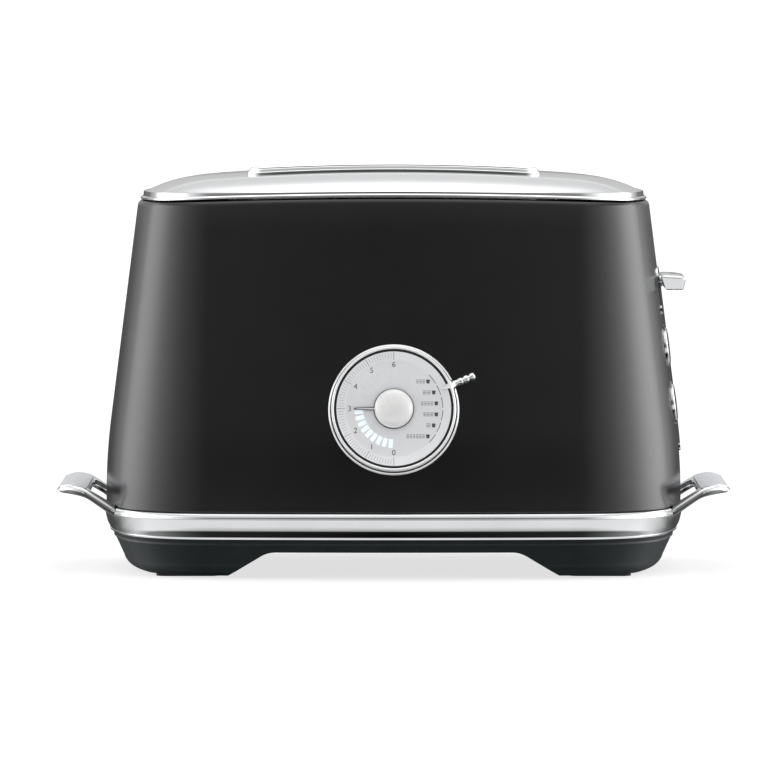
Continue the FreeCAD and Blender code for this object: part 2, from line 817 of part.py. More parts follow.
def make_dial_housing():
    """Black cup that holds the dial's face and board, and carries the selector ring."""
    body = new_body("dial_housing")
    inner = "housing_radius - housing_wall"
    ledge = "housing_radius - housing_wall - 1.2"
    step = "dial_face_level - dial_face_gauge"
    back = "housing_back + 1.6"
    turned(body, [
        ("4", "housing_back"),
        ("housing_radius", "housing_back"),
        ("housing_radius", "housing_front"),
        (inner, "housing_front"),
        (inner, step),
        (ledge, step),
        (ledge, back),
        ("4", back),
    ])
    keep(body, dial_frame())


def led_slot(sketch, gap):
    """One light segment's outline, on the sketch's X axis, drawn in by a gap."""
    near, far = f"led_inner_radius + {gap}", f"led_outer_radius - {gap}"
    half = f"led_width / 2 - {gap}"
    polygon(sketch, [(near, f"-({half})"), (far, f"-({half})"), (far, half), (near, half)])


def repeat_leds(body, feature):
    """Repeat one light segment along its arc."""
    pattern = body.newObject("PartDesign::PolarPattern", body.Name + "_pattern")
    pattern.Originals = [feature]
    pattern.Axis = (feature.Profile[0], ["N_Axis"])
    bind(pattern, "Angle", "led_pitch * (led_count - 1)")
    bind(pattern, "Occurrences", "led_count")
    body.Tip = pattern


def make_dial_face():
    """Silvered face: a flat middle, a raised rim for the scale, and a window for each light."""
    body = new_body("dial_face")
    back = "dial_face_level - dial_face_gauge"
    bore = "shaft_radius + running_gap"
    turned(body, [
        (bore, back),
        ("dial_face_radius", back),
        ("dial_face_radius", "dial_face_level + dial_face_rise"),
        ("dial_flat_radius", "dial_face_level"),
        (bore, "dial_face_level"),
    ])
    slot = pierce(body, "2 * dial_face_gauge", lambda sketch: led_slot(sketch, 0), "dial_face_level + 0.2")
    repeat_leds(body, slot)
    keep(body, dial_frame(dim("led_first_angle")))


def make_light_guide():
    """Clear ring behind the face, with a prong that fills each window."""
    body = new_body("light_guide")
    top = "dial_face_level - dial_face_gauge"
    turned(body, [
        ("led_inner_radius - 0.7", f"{top} - 1.8"),
        ("led_outer_radius + 0.7", f"{top} - 1.8"),
        ("led_outer_radius + 0.7", top),
        ("led_inner_radius - 0.7", top),
    ])
    sketch = new_sketch(body, level=top)
    led_slot(sketch, "running_gap")
    repeat_leds(body, pad(body, sketch, "dial_face_gauge"))
    keep(body, dial_frame(dim("led_first_angle")))


def make_dial_boards():
    """The dial's round circuit board and the rotary encoder behind its housing."""
    board = new_body("dial_board")
    low = "housing_back + 1.6"
    turned(board, [
        ("shaft_radius + 0.6", low),
        ("housing_radius - 2.4", low),
        ("housing_radius - 2.4", f"{low} + board_gauge"),
        ("shaft_radius + 0.6", f"{low} + board_gauge"),
    ])
    keep(board, dial_frame())
    encoder = new_body("dial_encoder")
    sketch = new_sketch(encoder, level="housing_back")
    polygon(sketch, [("-7", "-7"), ("7", "-7"), ("7", "7"), ("-7", "7")])
    case = pad(encoder, sketch, "7")
    case.Reversed = True
    pierce(encoder, "9", lambda s: circle(s, "shaft_radius + running_gap"), "housing_back + 1")
    keep(encoder, dial_frame())


def make_browning_control():
    """Centre knob, its needle and the shaft that turns the encoder."""
    turn = 180.0
    shaft = new_body("knob_shaft")
    sketch = new_sketch(shaft, level="shaft_back")
    circle(sketch, "shaft_radius")
    pad(shaft, sketch, "knob_front - 2.6 - shaft_back")
    keep(shaft, dial_frame(turn))
    needle = new_body("dial_needle")
    sketch = new_sketch(needle, level="knob_back")
    half = "needle_width / 2"
    polygon(sketch, [
        ("-(knob_radius - 1)", "-3.6"),
        ("0", "-(knob_radius - 1)"),
        ("6", "-5"),
        ("knob_radius - 1", f"-({half})"),
        ("needle_reach", "-0.3"),
        ("needle_reach", "0.3"),
        ("knob_radius - 1", half),
        ("6", "5"),
        ("0", "knob_radius - 1"),
        ("-(knob_radius - 1)", "3.6"),
    ])
    pad(needle, sketch, "needle_gauge")
    pierce(needle, "2", lambda s: circle(s, "shaft_radius"), "knob_back + 1")
    keep(needle, dial_frame(turn))
    knob = new_body("browning_knob")
    low = "knob_back + needle_gauge"
    cap = turned(knob, [
        ("0", "knob_front - 2.6"),
        ("shaft_radius", "knob_front - 2.6"),
        ("shaft_radius", low),
        ("knob_radius", low),
        ("knob_radius", "knob_front"),
        ("0", "knob_front"),
    ])
    front = dim("knob_front")
    rim = dim("knob_radius")
    rounded(knob, cap, lambda e: e.BoundBox.ZMin > front - 0.1 and e.BoundBox.XMax > rim - 0.1, 3.6)
    keep(knob, dial_frame(turn))


def make_bread_selector():
    """Chrome ring round the face, with a pointer that reaches inwards and a lever outwards."""
    angle = dim("selector_angle")
    ring = new_body("selector_ring")
    turned(ring, [
        ("ring_bore", "ring_back"),
        ("ring_radius", "ring_back"),
        ("ring_radius", "ring_front - 0.5"),
        ("ring_radius - 0.5", "ring_front"),
        ("ring_bore", "ring_front"),
    ])
    sketch = new_sketch(ring, level="ring_front - 1")
    polygon(sketch, [("ring_bore + 0.4", "-1.6"), ("ring_bore + 0.4", "1.6"), ("ring_bore - 4.6", "0")])
    pad(ring, sketch, "0.7")
    keep(ring, dial_frame(angle))
    lever = new_body("selector_lever")
    turned(lever, [
        ("0", "ring_radius"),
        ("3.2", "ring_radius"),
        ("2.2", "ring_radius + 1.8"),
        ("1.9", "ring_radius + 6"),
        ("1.5", "ring_radius + 7"),
        ("2.1", "ring_radius + 8.4"),
        ("2.1", "selector_reach - 0.8"),
        ("1.3", "selector_reach"),
        ("0", "selector_reach"),
    ])
    middle = Vector(0, 0, (dim("ring_back") + dim("ring_front")) / 2)
    outwards = Placement(middle, Rotation(Vector(0, 1, 0), 90))
    keep(lever, dial_frame(angle) * outwards)


# ---------------------------------------------------------------- the lever and the buttons


def make_lever():
    """Chrome paddle of the carriage lever and the stem that carries it."""
    knob = new_body("lever_knob")
    sketch = new_sketch(knob, level="lever_height - lever_half_height")
    polygon(sketch, [
        ("lever_inner_edge", "-lever_half_width"),
        ("lever_tip", "-lever_half_width"),
        ("lever_tip", "lever_half_width"),
        ("lever_inner_edge", "lever_half_width"),
    ])
    paddle = pad(knob, sketch, "2 * lever_half_height")
    tip = dim("lever_tip")
    corners = rounded(knob, paddle, lambda e: e.BoundBox.ZLength > 1 and e.BoundBox.XMin > tip - 1, dim("lever_corner"))
    top = dim("lever_height") + dim("lever_half_height")
    rounded(knob, corners, lambda e: e.BoundBox.ZMin > top - 0.1 and e.BoundBox.XMax > tip - 8, 1.5)
    keep(knob)
    keep(cylinder(
        "lever_stem",
        "stem_radius",
        "lever_inner_edge - stem_inner_end",
        ("stem_inner_end", "0", "lever_height"),
        "x",
    ))


def make_lever_escutcheon():
    """Chrome plate behind the lever, drawn out downwards as a frame round its track."""
    low = dim("lever_height") - dim("lever_travel") - dim("stem_radius") - 4
    high = dim("track_plate_top")
    skin = wall_block(-dim("track_proud"), low - 5, high + 5).cut(wall_block(0, low - 6, high + 6))
    wide = dim("track_plate_half_width")
    narrow = dim("track_frame_half_width")
    plate = block((100, -wide, dim("track_plate_bottom")), (170, wide, high))
    corners = [e for e in plate.Edges if e.BoundBox.XLength > 1]
    plate = plate.makeFillet(5.0, corners)
    frame = block((100, -narrow, low), (170, narrow, high - 6))
    corners = [e for e in frame.Edges if e.BoundBox.XLength > 1 and e.BoundBox.ZMax < low + 1]
    frame = frame.makeFillet(4.0, corners)
    half = dim("track_half_width")
    stem = dim("stem_radius") + 1
    slot = block((90, -half, low + 3), (180, half, dim("lever_height") + stem))
    keep(solid("lever_escutcheon", skin.common(plate.fuse(frame)).cut(slot).removeSplitter()))


def make_buttons():
    """Four round chrome buttons, each with a stem to its switch, and their bezels."""
    bezels = []
    for label, (side, height) in BUTTONS.items():
        frame = end_frame(side, dim(height))
        button = new_body(label)
        turned(button, [
            ("0", "-12"),
            ("2", "-12"),
            ("2", "-3"),
            ("button_radius", "-3"),
            ("button_radius", "button_proud - 0.5"),
            ("button_radius - 0.7", "button_proud"),
            ("0", "button_proud"),
        ])
        keep(button, frame)
        bezel = new_body(label.replace("button", "bezel"), frame)
        turned(bezel, [
            ("bezel_bore", "-3"),
            ("bezel_barrel", "-3"),
            ("bezel_barrel", "0"),
            ("bezel_radius", "0"),
            ("bezel_radius", "0.5"),
            ("bezel_bore", "0.5"),
        ])
        bezels.append(bezel)
    keep(group("button_bezels", bezels))


def make_button_boards():
    """A narrow switch board behind each pair of buttons."""
    level = "-12 - button_travel - 0.1"
    pitch = (dim("button_high") - dim("button_low")) / 2 / math.cos(math.radians(lean()))
    for name, side in SIDES.items():
        board = new_body(f"button_board_{name}")
        sketch = new_sketch(board, level=f"{level} - 3.3 - board_gauge")
        polygon(sketch, [("-24", "-8"), ("24", "-8"), ("24", "8"), ("-24", "8")])
        pad(board, sketch, "board_gauge")
        DOCUMENT.recompute()
        for spot in (-pitch, pitch):
            switch = new_sketch(board, level=f"{level} - 3.3")
            low, high = str(spot - 3), str(spot + 3)
            polygon(switch, [(low, "-3"), (high, "-3"), (high, "3"), (low, "3")])
            pad(board, switch, "3.3")
        keep(board, end_frame(side, (dim("button_high") + dim("button_low")) / 2))


# ---------------------------------------------------------------- inside: chassis and chambers


def make_chassis_floor():
    """Steel floor on the base's rim, open under each slot so that crumbs fall on the tray."""
    low = dim("floor_bottom")
    high = low + dim("sheet_gauge")
    plate = prism(dim("floor_inset"), low, high)
    reach = dim("slot_half_length") + 4
    openings = []
    for side in SIDES.values():
        near, far = sorted((side * (dim("slot_offset") - 20), side * (dim("slot_offset") + 20)))
        openings.append(block((-reach, near, low - 1), (reach, far, high + 1)))
    holes = [Part.makeCylinder(dim("screw_radius") + 0.1, 5, Vector(x, y, low - 1)) for x, y in SCREW_PLACES]
    keep(solid("chassis_floor", plate.cut(openings + holes)))


def make_chassis_screws():
    """Pan-head screws that hold the floor down on the base's posts."""
    screws = []
    head_level = "floor_bottom + sheet_gauge"
    for index, (x, y) in enumerate(SCREW_PLACES, start=1):
        head = cylinder(f"screw_head_{index}", "2 * screw_radius", "2", (x, y, head_level))
        shank = cylinder(f"screw_shank_{index}", "screw_radius", "12", (x, y, f"{head_level} - 11.9"))
        screws.append(fuse(f"chassis_screw_{index}", [head, shank]))
    keep(group("chassis_screws", screws))


def guide_offsets():
    """The four bread guides: name, offset from the middle, and its side."""
    guides = {}
    for name, side in SIDES.items():
        for where in ("inner", "outer"):
            guides[f"bread_guide_{name}_{where}"] = f"{side} * guide_{where}_offset"
    return guides


def make_end_plates():
    """Steel end plates, slotted for the carriage arms and pierced for the guide pivots."""
    floor = "(floor_bottom + sheet_gauge)"
    for name, side in ENDS.items():
        start = "end_plate_x" if side > 0 else "-end_plate_x - sheet_gauge"
        size = ("sheet_gauge", "2 * end_plate_half_depth", f"chamber_top - {floor}")
        plate = box(f"end_plate_blank_{name}", size, (start, "-end_plate_half_depth", floor))
        tools = []
        for place, half in SIDES.items():
            slot_size = ("4 * sheet_gauge", "2 * carriage_slot_half_width", "block_bottom - floor_bottom - 8")
            near = f"{half} * slot_offset - carriage_slot_half_width"
            corner = (f"{start} - sheet_gauge", near, "floor_bottom + 4")
            tools.append(box(f"arm_slot_{name}_{place}", slot_size, corner))
        for guide, offset in guide_offsets().items():
            spot = (f"{start} - sheet_gauge", offset, "guide_pivot_height")
            hole = "guide_pivot_radius + running_gap"
            tools.append(cylinder(f"pivot_hole_{name}_{guide}", hole, "4 * sheet_gauge", spot, "x"))
        keep(cut(f"end_plate_{name}", plate, tools))


def make_chamber_walls():
    """Heat shields outside, and mica heating boards on both sides of each slot."""
    length = "2 * end_plate_x"
    for name, side in SIDES.items():
        near = f"{side} * shield_offset - shield_gauge / 2"
        size = (length, "shield_gauge", "chamber_top - floor_bottom - sheet_gauge")
        keep(box(f"heat_shield_{name}", size, ("-end_plate_x", near, "floor_bottom + sheet_gauge")))
        for where in ("inner", "outer"):
            near = f"{side} * {where}_board_offset - mica_gauge / 2"
            size = (length, "mica_gauge", "chamber_top - mica_bottom - 2")
            keep(box(f"mica_board_{name}_{where}", size, ("-end_plate_x", near, "mica_bottom")))


def make_heating_ribbons():
    """Nichrome ribbon across the slot side of every board, in even rows."""
    strips = []
    rows = int(dim("ribbon_rows"))
    pitch = "(chamber_top - mica_bottom - 24) / (ribbon_rows - 1)"
    for name, side in SIDES.items():
        for where, way in (("inner", 1), ("outer", -1)):
            face = f"{side} * ({where}_board_offset + {way} * mica_gauge / 2)"
            near = face if side * way > 0 else f"{face} - ribbon_gauge"
            for row in range(rows):
                level = f"mica_bottom + 10 + {row} * {pitch}"
                size = ("2 * slot_half_length", "ribbon_gauge", "ribbon_width")
                strips.append(box(f"ribbon_{name}_{where}_{row}", size, ("-slot_half_length", near, level)))
    keep(group("heating_ribbons", strips))


def make_bread_guides():
    """Wire frames that swing in about their bottom rods and hold the bread upright."""
    wires = range(-3, 4)
    for label, offset in guide_offsets().items():
        pivot_span = "end_plate_x + sheet_gauge"
        pieces = [
            cylinder(
                f"{label}_pivot",
                "guide_pivot_radius",
                f"2 * ({pivot_span})",
                (f"-({pivot_span})", offset, "guide_pivot_height"),
                "x",
            ),
            cylinder(
                f"{label}_top",
                "guide_wire_radius",
                "2 * (end_plate_x - 5)",
                ("-(end_plate_x - 5)", offset, "guide_top"),
                "x",
            ),
        ]
        for wire in wires:
            place = (f"{wire} * slot_half_length / 3.3", offset, "guide_pivot_height")
            length = "guide_top - guide_pivot_height"
            pieces.append(cylinder(f"{label}_wire_{wire + 4}", "guide_wire_radius", length, place))
        keep(fuse(label, pieces))


def make_bread_racks():
    """The rail in each slot that the bread stands on, with fins across it."""
    tongue = "carriage_slot_half_width - 1"
    for name, side in SIDES.items():
        middle = f"{side} * slot_offset"
        reach = "(end_plate_x - 5)"
        rail = box(
            f"rail_{name}",
            (f"2 * {reach}", "2 * rack_half_width", "rack_gauge"),
            (f"-{reach}", f"{middle} - rack_half_width", "rack_top - rack_gauge"),
        )
        end = box(
            f"rail_end_{name}",
            ("12", f"2 * ({tongue})", "rack_top - carriage_bottom"),
            (f"-{reach} - 11", f"{middle} - ({tongue})", "carriage_bottom"),
        )
        fins = []
        for index in range(-6, 7):
            place = (f"{index} * 11.5 - 0.75", f"{middle} - 7", "rack_top - 0.5")
            fins.append(box(f"fin_{name}_{index + 7}", ("1.5", "14", "4"), place))
        keep(fuse(f"bread_rack_{name}", [rail, end] + fins))


def make_carriage():
    """Sliding block on the guide rod, with arms that reach through the end plate to the racks."""
    tongue = "carriage_slot_half_width - 1"
    height = "block_top - block_bottom"
    pieces = [
        box(
            "carriage_block",
            ("block_outer - block_inner", "2 * block_half_width", height),
            ("block_inner", "-block_half_width", "block_bottom"),
        ),
        box(
            "carriage_plate",
            ("2", "80", "carriage_top - carriage_bottom"),
            ("block_inner", "-40", "carriage_bottom"),
        ),
        box(
            "spring_tab",
            ("14", "8", "spring_tab_gauge"),
            ("block_inner", "spring_y - 4", "carriage_top - spring_tab_gauge"),
        ),
    ]
    for name, side in SIDES.items():
        pieces.append(box(
            f"carriage_tongue_{name}",
            ("block_inner - end_plate_x + 6", f"2 * ({tongue})", "12"),
            ("end_plate_x - 5", f"{side} * slot_offset - ({tongue})", "carriage_bottom"),
        ))
    rod = cylinder("rod_bore", "rod_radius + running_gap", "60", ("rod_x", "0", "120"))
    stem = cylinder(
        "stem_bore",
        "stem_radius + running_gap",
        "block_outer - stem_inner_end + 2",
        ("stem_inner_end - 0.5", "0", "lever_height"),
        "x",
    )
    keep(cut("carriage", fuse("carriage_blank", pieces), [rod, stem]))
    keeper = ("2 * magnet_half_length", "2 * block_half_width", "keeper_gauge")
    place = ("magnet_x - magnet_half_length", "-block_half_width", "block_bottom - keeper_gauge")
    keep(box("keeper_plate", keeper, place))


def make_carriage_guide():
    """The upright rod, the bracket at its top and the return spring."""
    floor = "floor_bottom + sheet_gauge"
    keep(cylinder("guide_rod", "rod_radius", f"rod_top - ({floor})", ("rod_x", "0", floor)))
    start = "end_plate_x + sheet_gauge"
    bracket = box("bracket_blank", (f"rod_x + 8 - ({start})", "34", "2"), (start, "-10", "rod_top"))
    tab = box("bracket_tab", ("1.2", "34", "10"), (start, "-10", "rod_top - 9"))
    keep(fuse("rod_bracket", [bracket, tab]))
    ends = dim("spring_wire") + dim("spring_gap")
    low = dim("carriage_top") + ends
    high = dim("rod_top") - ends
    pitch = (high - low) / dim("spring_turns")
    helix = Part.makeHelix(pitch, high - low, dim("spring_radius"))
    wire = Part.Circle(Vector(dim("spring_radius"), 0, 0), Vector(0, 1, 0), dim("spring_wire"))
    coil = Part.Wire(helix.Edges).makePipeShell([Part.Wire(wire.toShape())], True, True)
    coil.translate(Vector(dim("rod_x"), dim("spring_y"), low))
    keep(solid("return_spring", coil))


def make_latch_magnet():
    """Electromagnet that holds the carriage down: an iron core with a coil round it."""
    floor = "floor_bottom + sheet_gauge"
    start = "magnet_x - magnet_half_length"
    size = ("2 * magnet_half_length", "2 * magnet_half_width", f"magnet_top - ({floor})")
    keep(box("magnet_core", size, (start, "-magnet_half_width", floor)))
    sleeve = box(
        "coil_blank",
        ("2 * magnet_half_length + 6", "2 * magnet_half_width + 6", "14"),
        (f"{start} - 3", "-magnet_half_width - 3", f"{floor} + 3"),
    )
    hole_size = ("2 * magnet_half_length", "2 * magnet_half_width", "40")
    hole = box("coil_hole", hole_size, (start, "-magnet_half_width", floor))
    keep(cut("magnet_coil", sleeve, [hole]))


def make_electronics():
    """Control board in the left cavity, the parts on it, and the mains terminal block."""
    back = "control_board_x"
    keep(box("control_board", ("board_gauge", "96", "98"), (back, "-48", "floor_bottom + 5")))
    outer = f"{back} + board_gauge"
    relay = box("relay", ("9", "20", "16"), (f"{back} - 9", "-30", "70"))
    transformer = box("transformer", ("13", "24", "22"), (f"{back} - 13", "8", "60"))
    capacitors = []
    for index in range(3):
        place = (f"{back} - 11", 6 + 11 * index, "110")
        capacitors.append(cylinder(f"capacitor_{index}", "4", "11", place, "x"))
    triac = box("triac", ("4", "10", "14"), (outer, "-10", "100"))
    keep(group("board_components", [relay, transformer, triac] + capacitors))
    keep(box("terminal_block", ("20", "12", "13"), ("-107", "52", "floor_bottom + sheet_gauge")))


def make_crumb_tray():
    """Shallow tray that slides out of the rear, its pull flush with the base."""
    gauge = dim("tray_gauge")
    half = dim("tray_half_width") - gauge
    front = dim("tray_front") + gauge
    pan = block((-half, front, dim("tray_bottom") + gauge), (half, 0.9 * dim("body_half_depth"), 60))
    shape = tray_block(0).common(bowl(0, 0)).cut(pan)
    keep(solid("crumb_tray", shape))


def make_cord_gland():
    """Rubber bush where the supply cord enters, at the rear of the left foot block."""
    body = new_body("cord_gland")
    turned(body, [
        ("gland_bore", "-gland_length"),
        ("gland_barrel", "-gland_length"),
        ("gland_barrel", "gland_collar - gland_face"),
        ("gland_radius", "gland_collar - gland_face"),
        ("gland_radius", "0"),
        ("gland_bore", "0"),
    ])
    centre = Vector(dim("gland_x"), dim("gland_face"), dim("gland_height"))
    keep(body, Placement(centre, Rotation(Vector(1, 0, 0), -90)))


def check_document():
    """Stop if any object failed to build, or if a piece is not a sound solid."""
    DOCUMENT.recompute()
    for item in DOCUMENT.Objects:
        broken = {"Invalid", "Error"} & set(item.State)
        assert not broken, f"{item.Label}: {item.State}"
    labels = [item.Label for item in PARTS]
    assert len(labels) == len(set(labels)), "two pieces share a name"
    for item in PARTS:
        shape = item.Shape
        assert not shape.isNull() and shape.isValid() and shape.Solids, f"{item.Label}: unsound shape"


def main():
    fill_sheet()
    make_outer_shell()
    make_top_lid()
    make_base_band()
    make_rim_gasket()
    make_base_moulding()
    make_rubber_feet()
    make_handles()
    make_dial_flange()
    make_dial_housing()
    make_dial_face()
    make_light_guide()
    make_dial_boards()
    make_browning_control()
    make_bread_selector()
    make_lever()
    make_lever_escutcheon()
    make_buttons()
    make_button_boards()
    make_chassis_floor()
    make_chassis_screws()
    make_end_plates()
    make_chamber_walls()
    make_heating_ribbons()
    make_bread_guides()
    make_bread_racks()
    make_carriage()
    make_carriage_guide()
    make_latch_magnet()
    make_electronics()
    make_crumb_tray()
    make_cord_gland()
    check_document()
    os.makedirs("parts", exist_ok=True)
    for item in PARTS:
        item.Shape.exportStep(f"parts/{item.Label}.step")
    print(f"{len(PARTS)} pieces written")


main()
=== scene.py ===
import math

import bmesh
import bpy
from mathutils import Matrix, Vector


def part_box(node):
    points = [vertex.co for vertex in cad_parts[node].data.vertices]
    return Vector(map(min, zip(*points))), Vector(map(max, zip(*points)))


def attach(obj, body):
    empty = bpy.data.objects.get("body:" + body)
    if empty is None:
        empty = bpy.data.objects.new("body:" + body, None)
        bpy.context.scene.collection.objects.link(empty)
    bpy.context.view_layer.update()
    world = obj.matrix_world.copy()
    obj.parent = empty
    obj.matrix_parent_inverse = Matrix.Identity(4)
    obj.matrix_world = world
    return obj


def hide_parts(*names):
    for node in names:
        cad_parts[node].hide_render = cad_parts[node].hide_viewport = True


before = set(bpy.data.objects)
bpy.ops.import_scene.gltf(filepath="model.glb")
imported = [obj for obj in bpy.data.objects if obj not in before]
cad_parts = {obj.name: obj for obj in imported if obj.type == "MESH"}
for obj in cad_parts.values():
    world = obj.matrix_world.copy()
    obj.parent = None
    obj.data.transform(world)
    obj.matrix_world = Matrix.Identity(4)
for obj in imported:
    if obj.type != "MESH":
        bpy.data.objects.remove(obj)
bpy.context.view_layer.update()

MM = 0.001


def box_mm(node):
    """Lowest and highest corners of a CAD node, in millimetres."""
    low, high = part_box(node)
    return low / MM, high / MM


SHELL_LOW, SHELL_HIGH = box_mm("outer_shell")
BAND_LOW, BAND_HIGH = box_mm("base_band")
KNOB_LOW, KNOB_HIGH = box_mm("lever_knob")
TRACK_LOW = box_mm("lever_escutcheon")[0]
HANDLE_HIGH = box_mm("handle_right")[1]

# Plan outline of the body, and how its wall rises.
HALF_WIDTH = SHELL_HIGH.x
HALF_DEPTH = SHELL_HIGH.y
FRONT_BOW = 1200.0
END_BOW = 215.0
CORNER = 50.0
WALL_SLOPE = 0.127
WALL_FOOT = 38.0
WALL_FOOT_RADIUS = 308.0
LEAN = math.atan(WALL_SLOPE)
WALL_BEND_TOP = WALL_FOOT + WALL_FOOT_RADIUS * math.sin(LEAN)
SHELL_GAUGE = 1.2

# The arched rim and the lid.
RIM_CREST = 191.5
RIM_ARCH = 2800.0
LID_INSET = 17.7
LID_CREST = 204.6
LID_DOME = 2400.0
LID_EDGE_DROP = 7.0
LID_EDGE_REACH = 38.0
LID_EDGE_POWER = 2.7
LID_GAUGE = 1.5
SLOT_HALF_LENGTH = 73.0
SLOT_HALF_WIDTH = 18.0
SLOT_OFFSET = 34.0
SLOT_CORNER = 6.0

# The dial: radii and levels along its own axis.
DIAL_HEIGHT = 85.6
FACE_RADIUS = 28.7
FACE_FLAT = 24.2
FACE_LEVEL = 8.0
FACE_RISE = 1.0
RING_BORE = 29.9
RING_RADIUS = 31.3
RING_BACK = 2.4
RING_FRONT = 10.4
FLANGE_RADIUS = 32.9
FLANGE_HEIGHT = 2.0
SELECTOR_ANGLE = 22.5
SELECTOR_REACH = 44.0
LIGHT_COUNT = 18
LIGHTS_LIT = 9
LIGHT_PITCH = 10.0
LIGHT_FIRST = 95.0
KNOB_RADIUS = 9.7
KNOB_BACK = 8.3
KNOB_FRONT = 14.6
NEEDLE_REACH = 20.0
NEEDLE_GAUGE = 0.6
PRINT_PROUD = 0.04

BUTTON_RADIUS = 9.4
BUTTON_OFFSET = 17.5
BUTTON_PROUD = 1.2
BUTTON_HEIGHTS = {"upper": 114.0, "lower": 85.0}
SIDES = {"front": -1, "rear": 1}


# ---------------------------------------------------------------- materials


# Where on a pattern, from 0 to 1, its dark and its pale end are.
DARK_SPOT, PALE_SPOT = 0.3, 0.7


class Paint:
    """One procedural material: a principled shader with its own coordinates, grain and bump."""

    def __init__(self, name):
        self.material = bpy.data.materials.new(name)
        self.material.use_nodes = True
        self.tree = self.material.node_tree
        self.shader = self.tree.nodes["Principled BSDF"]
        self.place = self.tree.nodes.new("ShaderNodeTexCoord").outputs["Object"]

    def set(self, **values):
        """Constants go straight on the shader's own sockets."""
        for name, value in values.items():
            socket = self.shader.inputs[name.replace("_", " ")]
            socket.default_value = (*value, 1.0) if isinstance(value, tuple) else value
        return self

    def link(self, start, stop):
        self.tree.links.new(start, stop)

    def stretched(self, scale):
        """The object's coordinates, scaled by axis so that a grain can run one way."""
        mapping = self.tree.nodes.new("ShaderNodeMapping")
        mapping.inputs["Scale"].default_value = scale
        self.link(self.place, mapping.inputs["Vector"])
        return mapping.outputs["Vector"]

    def noise(self, scale, detail=3.0, stretch=None):
        node = self.tree.nodes.new("ShaderNodeTexNoise")
        node.inputs["Scale"].default_value = scale
        node.inputs["Detail"].default_value = detail
        self.link(self.stretched(stretch) if stretch else self.place, node.inputs["Vector"])
        return node.outputs["Fac"]

    def cells(self, scale):
        node = self.tree.nodes.new("ShaderNodeTexVoronoi")
        node.inputs["Scale"].default_value = scale
        self.link(self.place, node.inputs["Vector"])
        return node.outputs["Distance"]

    def spread(self, source, low, high, socket="Roughness"):
        """A number on the shader that varies between low and high with a pattern."""
        node = self.tree.nodes.new("ShaderNodeMapRange")
        node.inputs["From Min"].default_value = DARK_SPOT
        node.inputs["From Max"].default_value = PALE_SPOT
        node.inputs["To Min"].default_value = low
        node.inputs["To Max"].default_value = high
        self.link(source, node.inputs["Value"])
        self.link(node.outputs["Result"], self.shader.inputs[socket])
        return self

    def tint(self, source, dark, pale):
        """Colour that follows a pattern between two tones."""
        return self.ramp(source, [(DARK_SPOT, dark), (PALE_SPOT, pale)])

    def ramp(self, source, stops):
        """Colour that follows a pattern through (place, colour) stops."""
        node = self.tree.nodes.new("ShaderNodeValToRGB")
        ramp = node.color_ramp
        for index, (spot, colour) in enumerate(stops):
            stop = ramp.elements[index] if index < 2 else ramp.elements.new(spot)
            stop.position = spot
            stop.color = (*colour, 1.0)
        self.link(source, node.inputs["Fac"])
        self.link(node.outputs["Color"], self.shader.inputs["Base Color"])
        return self

    def bump(self, source, depth):
        """Relief of a depth in millimetres."""
        node = self.tree.nodes.new("ShaderNodeBump")
        node.inputs["Strength"].default_value = 1.0
        node.inputs["Distance"].default_value = depth * MM
        self.link(source, node.inputs["Height"])
        self.link(node.outputs["Normal"], self.shader.inputs["Normal"])
        return self


def shell_paint():
    """Satin black powder coat with a very fine orange peel."""
    paint = Paint("shell_paint").set(Specular_IOR_Level=0.6)
    paint.tint(paint.noise(60, 5), (0.0016, 0.0016, 0.0019), (0.0022, 0.0022, 0.0026))
    paint.spread(paint.noise(35, 4), 0.23, 0.26)
    return paint.bump(paint.noise(2600, 2), 0.004).material


def bright_chrome():
    """Mirror chrome with faint polishing haze."""
    paint = Paint("bright_chrome").set(Metallic=1.0)
    paint.tint(paint.noise(30, 4), (0.80, 0.81, 0.82), (0.86, 0.87, 0.88))
    paint.spread(paint.noise(90, 6), 0.035, 0.075)
    return paint.bump(paint.noise(120, 3), 0.002).material


def lid_chrome():
    """The lid's chrome, brushed a little along its length before plating."""
    paint = Paint("lid_chrome").set(Metallic=1.0)
    paint.tint(paint.noise(25, 4), (0.82, 0.83, 0.84), (0.88, 0.88, 0.89))
    paint.spread(paint.noise(60, 5, (1, 8, 8)), 0.06, 0.1)
    return paint.bump(paint.noise(300, 4, (0.3, 6, 6)), 0.0008).material


def ring_chrome():
    """Pale satin chrome of the rings round the dial."""
    paint = Paint("ring_chrome").set(Metallic=0.5, Coat_Weight=0.6, Coat_Roughness=0.08)
    paint.tint(paint.noise(60, 4), (0.90, 0.91, 0.92), (0.95, 0.95, 0.96))
    paint.spread(paint.noise(150, 5), 0.12, 0.2)
    return paint.bump(paint.noise(200, 3), 0.002).material


def cast_chrome():
    """Chrome over a casting, with a soft waviness."""
    paint = Paint("cast_chrome").set(Metallic=1.0)
    paint.tint(paint.noise(40, 4), (0.78, 0.79, 0.80), (0.87, 0.88, 0.89))
    paint.spread(paint.noise(150, 5), 0.07, 0.13)
    return paint.bump(paint.noise(45, 3), 0.02).material


def grip_satin():
    """Bead-blasted satin on the top of each grip."""
    paint = Paint("grip_satin").set(Metallic=1.0)
    paint.ramp(paint.cells(900), [(0.1, (0.52, 0.53, 0.56)), (0.6, (0.86, 0.87, 0.90))])
    paint.spread(paint.noise(700, 4), 0.32, 0.5)
    return paint.bump(paint.cells(1100), 0.06).material


def base_plastic():
    """Dark grey moulded plastic with a fine spark-eroded texture."""
    paint = Paint("base_plastic").set(Specular_IOR_Level=0.4)
    paint.tint(paint.noise(45, 4), (0.006, 0.010, 0.011), (0.009, 0.0135, 0.015))
    paint.spread(paint.noise(220, 4), 0.36, 0.44)
    return paint.bump(paint.noise(1800, 3), 0.012).material


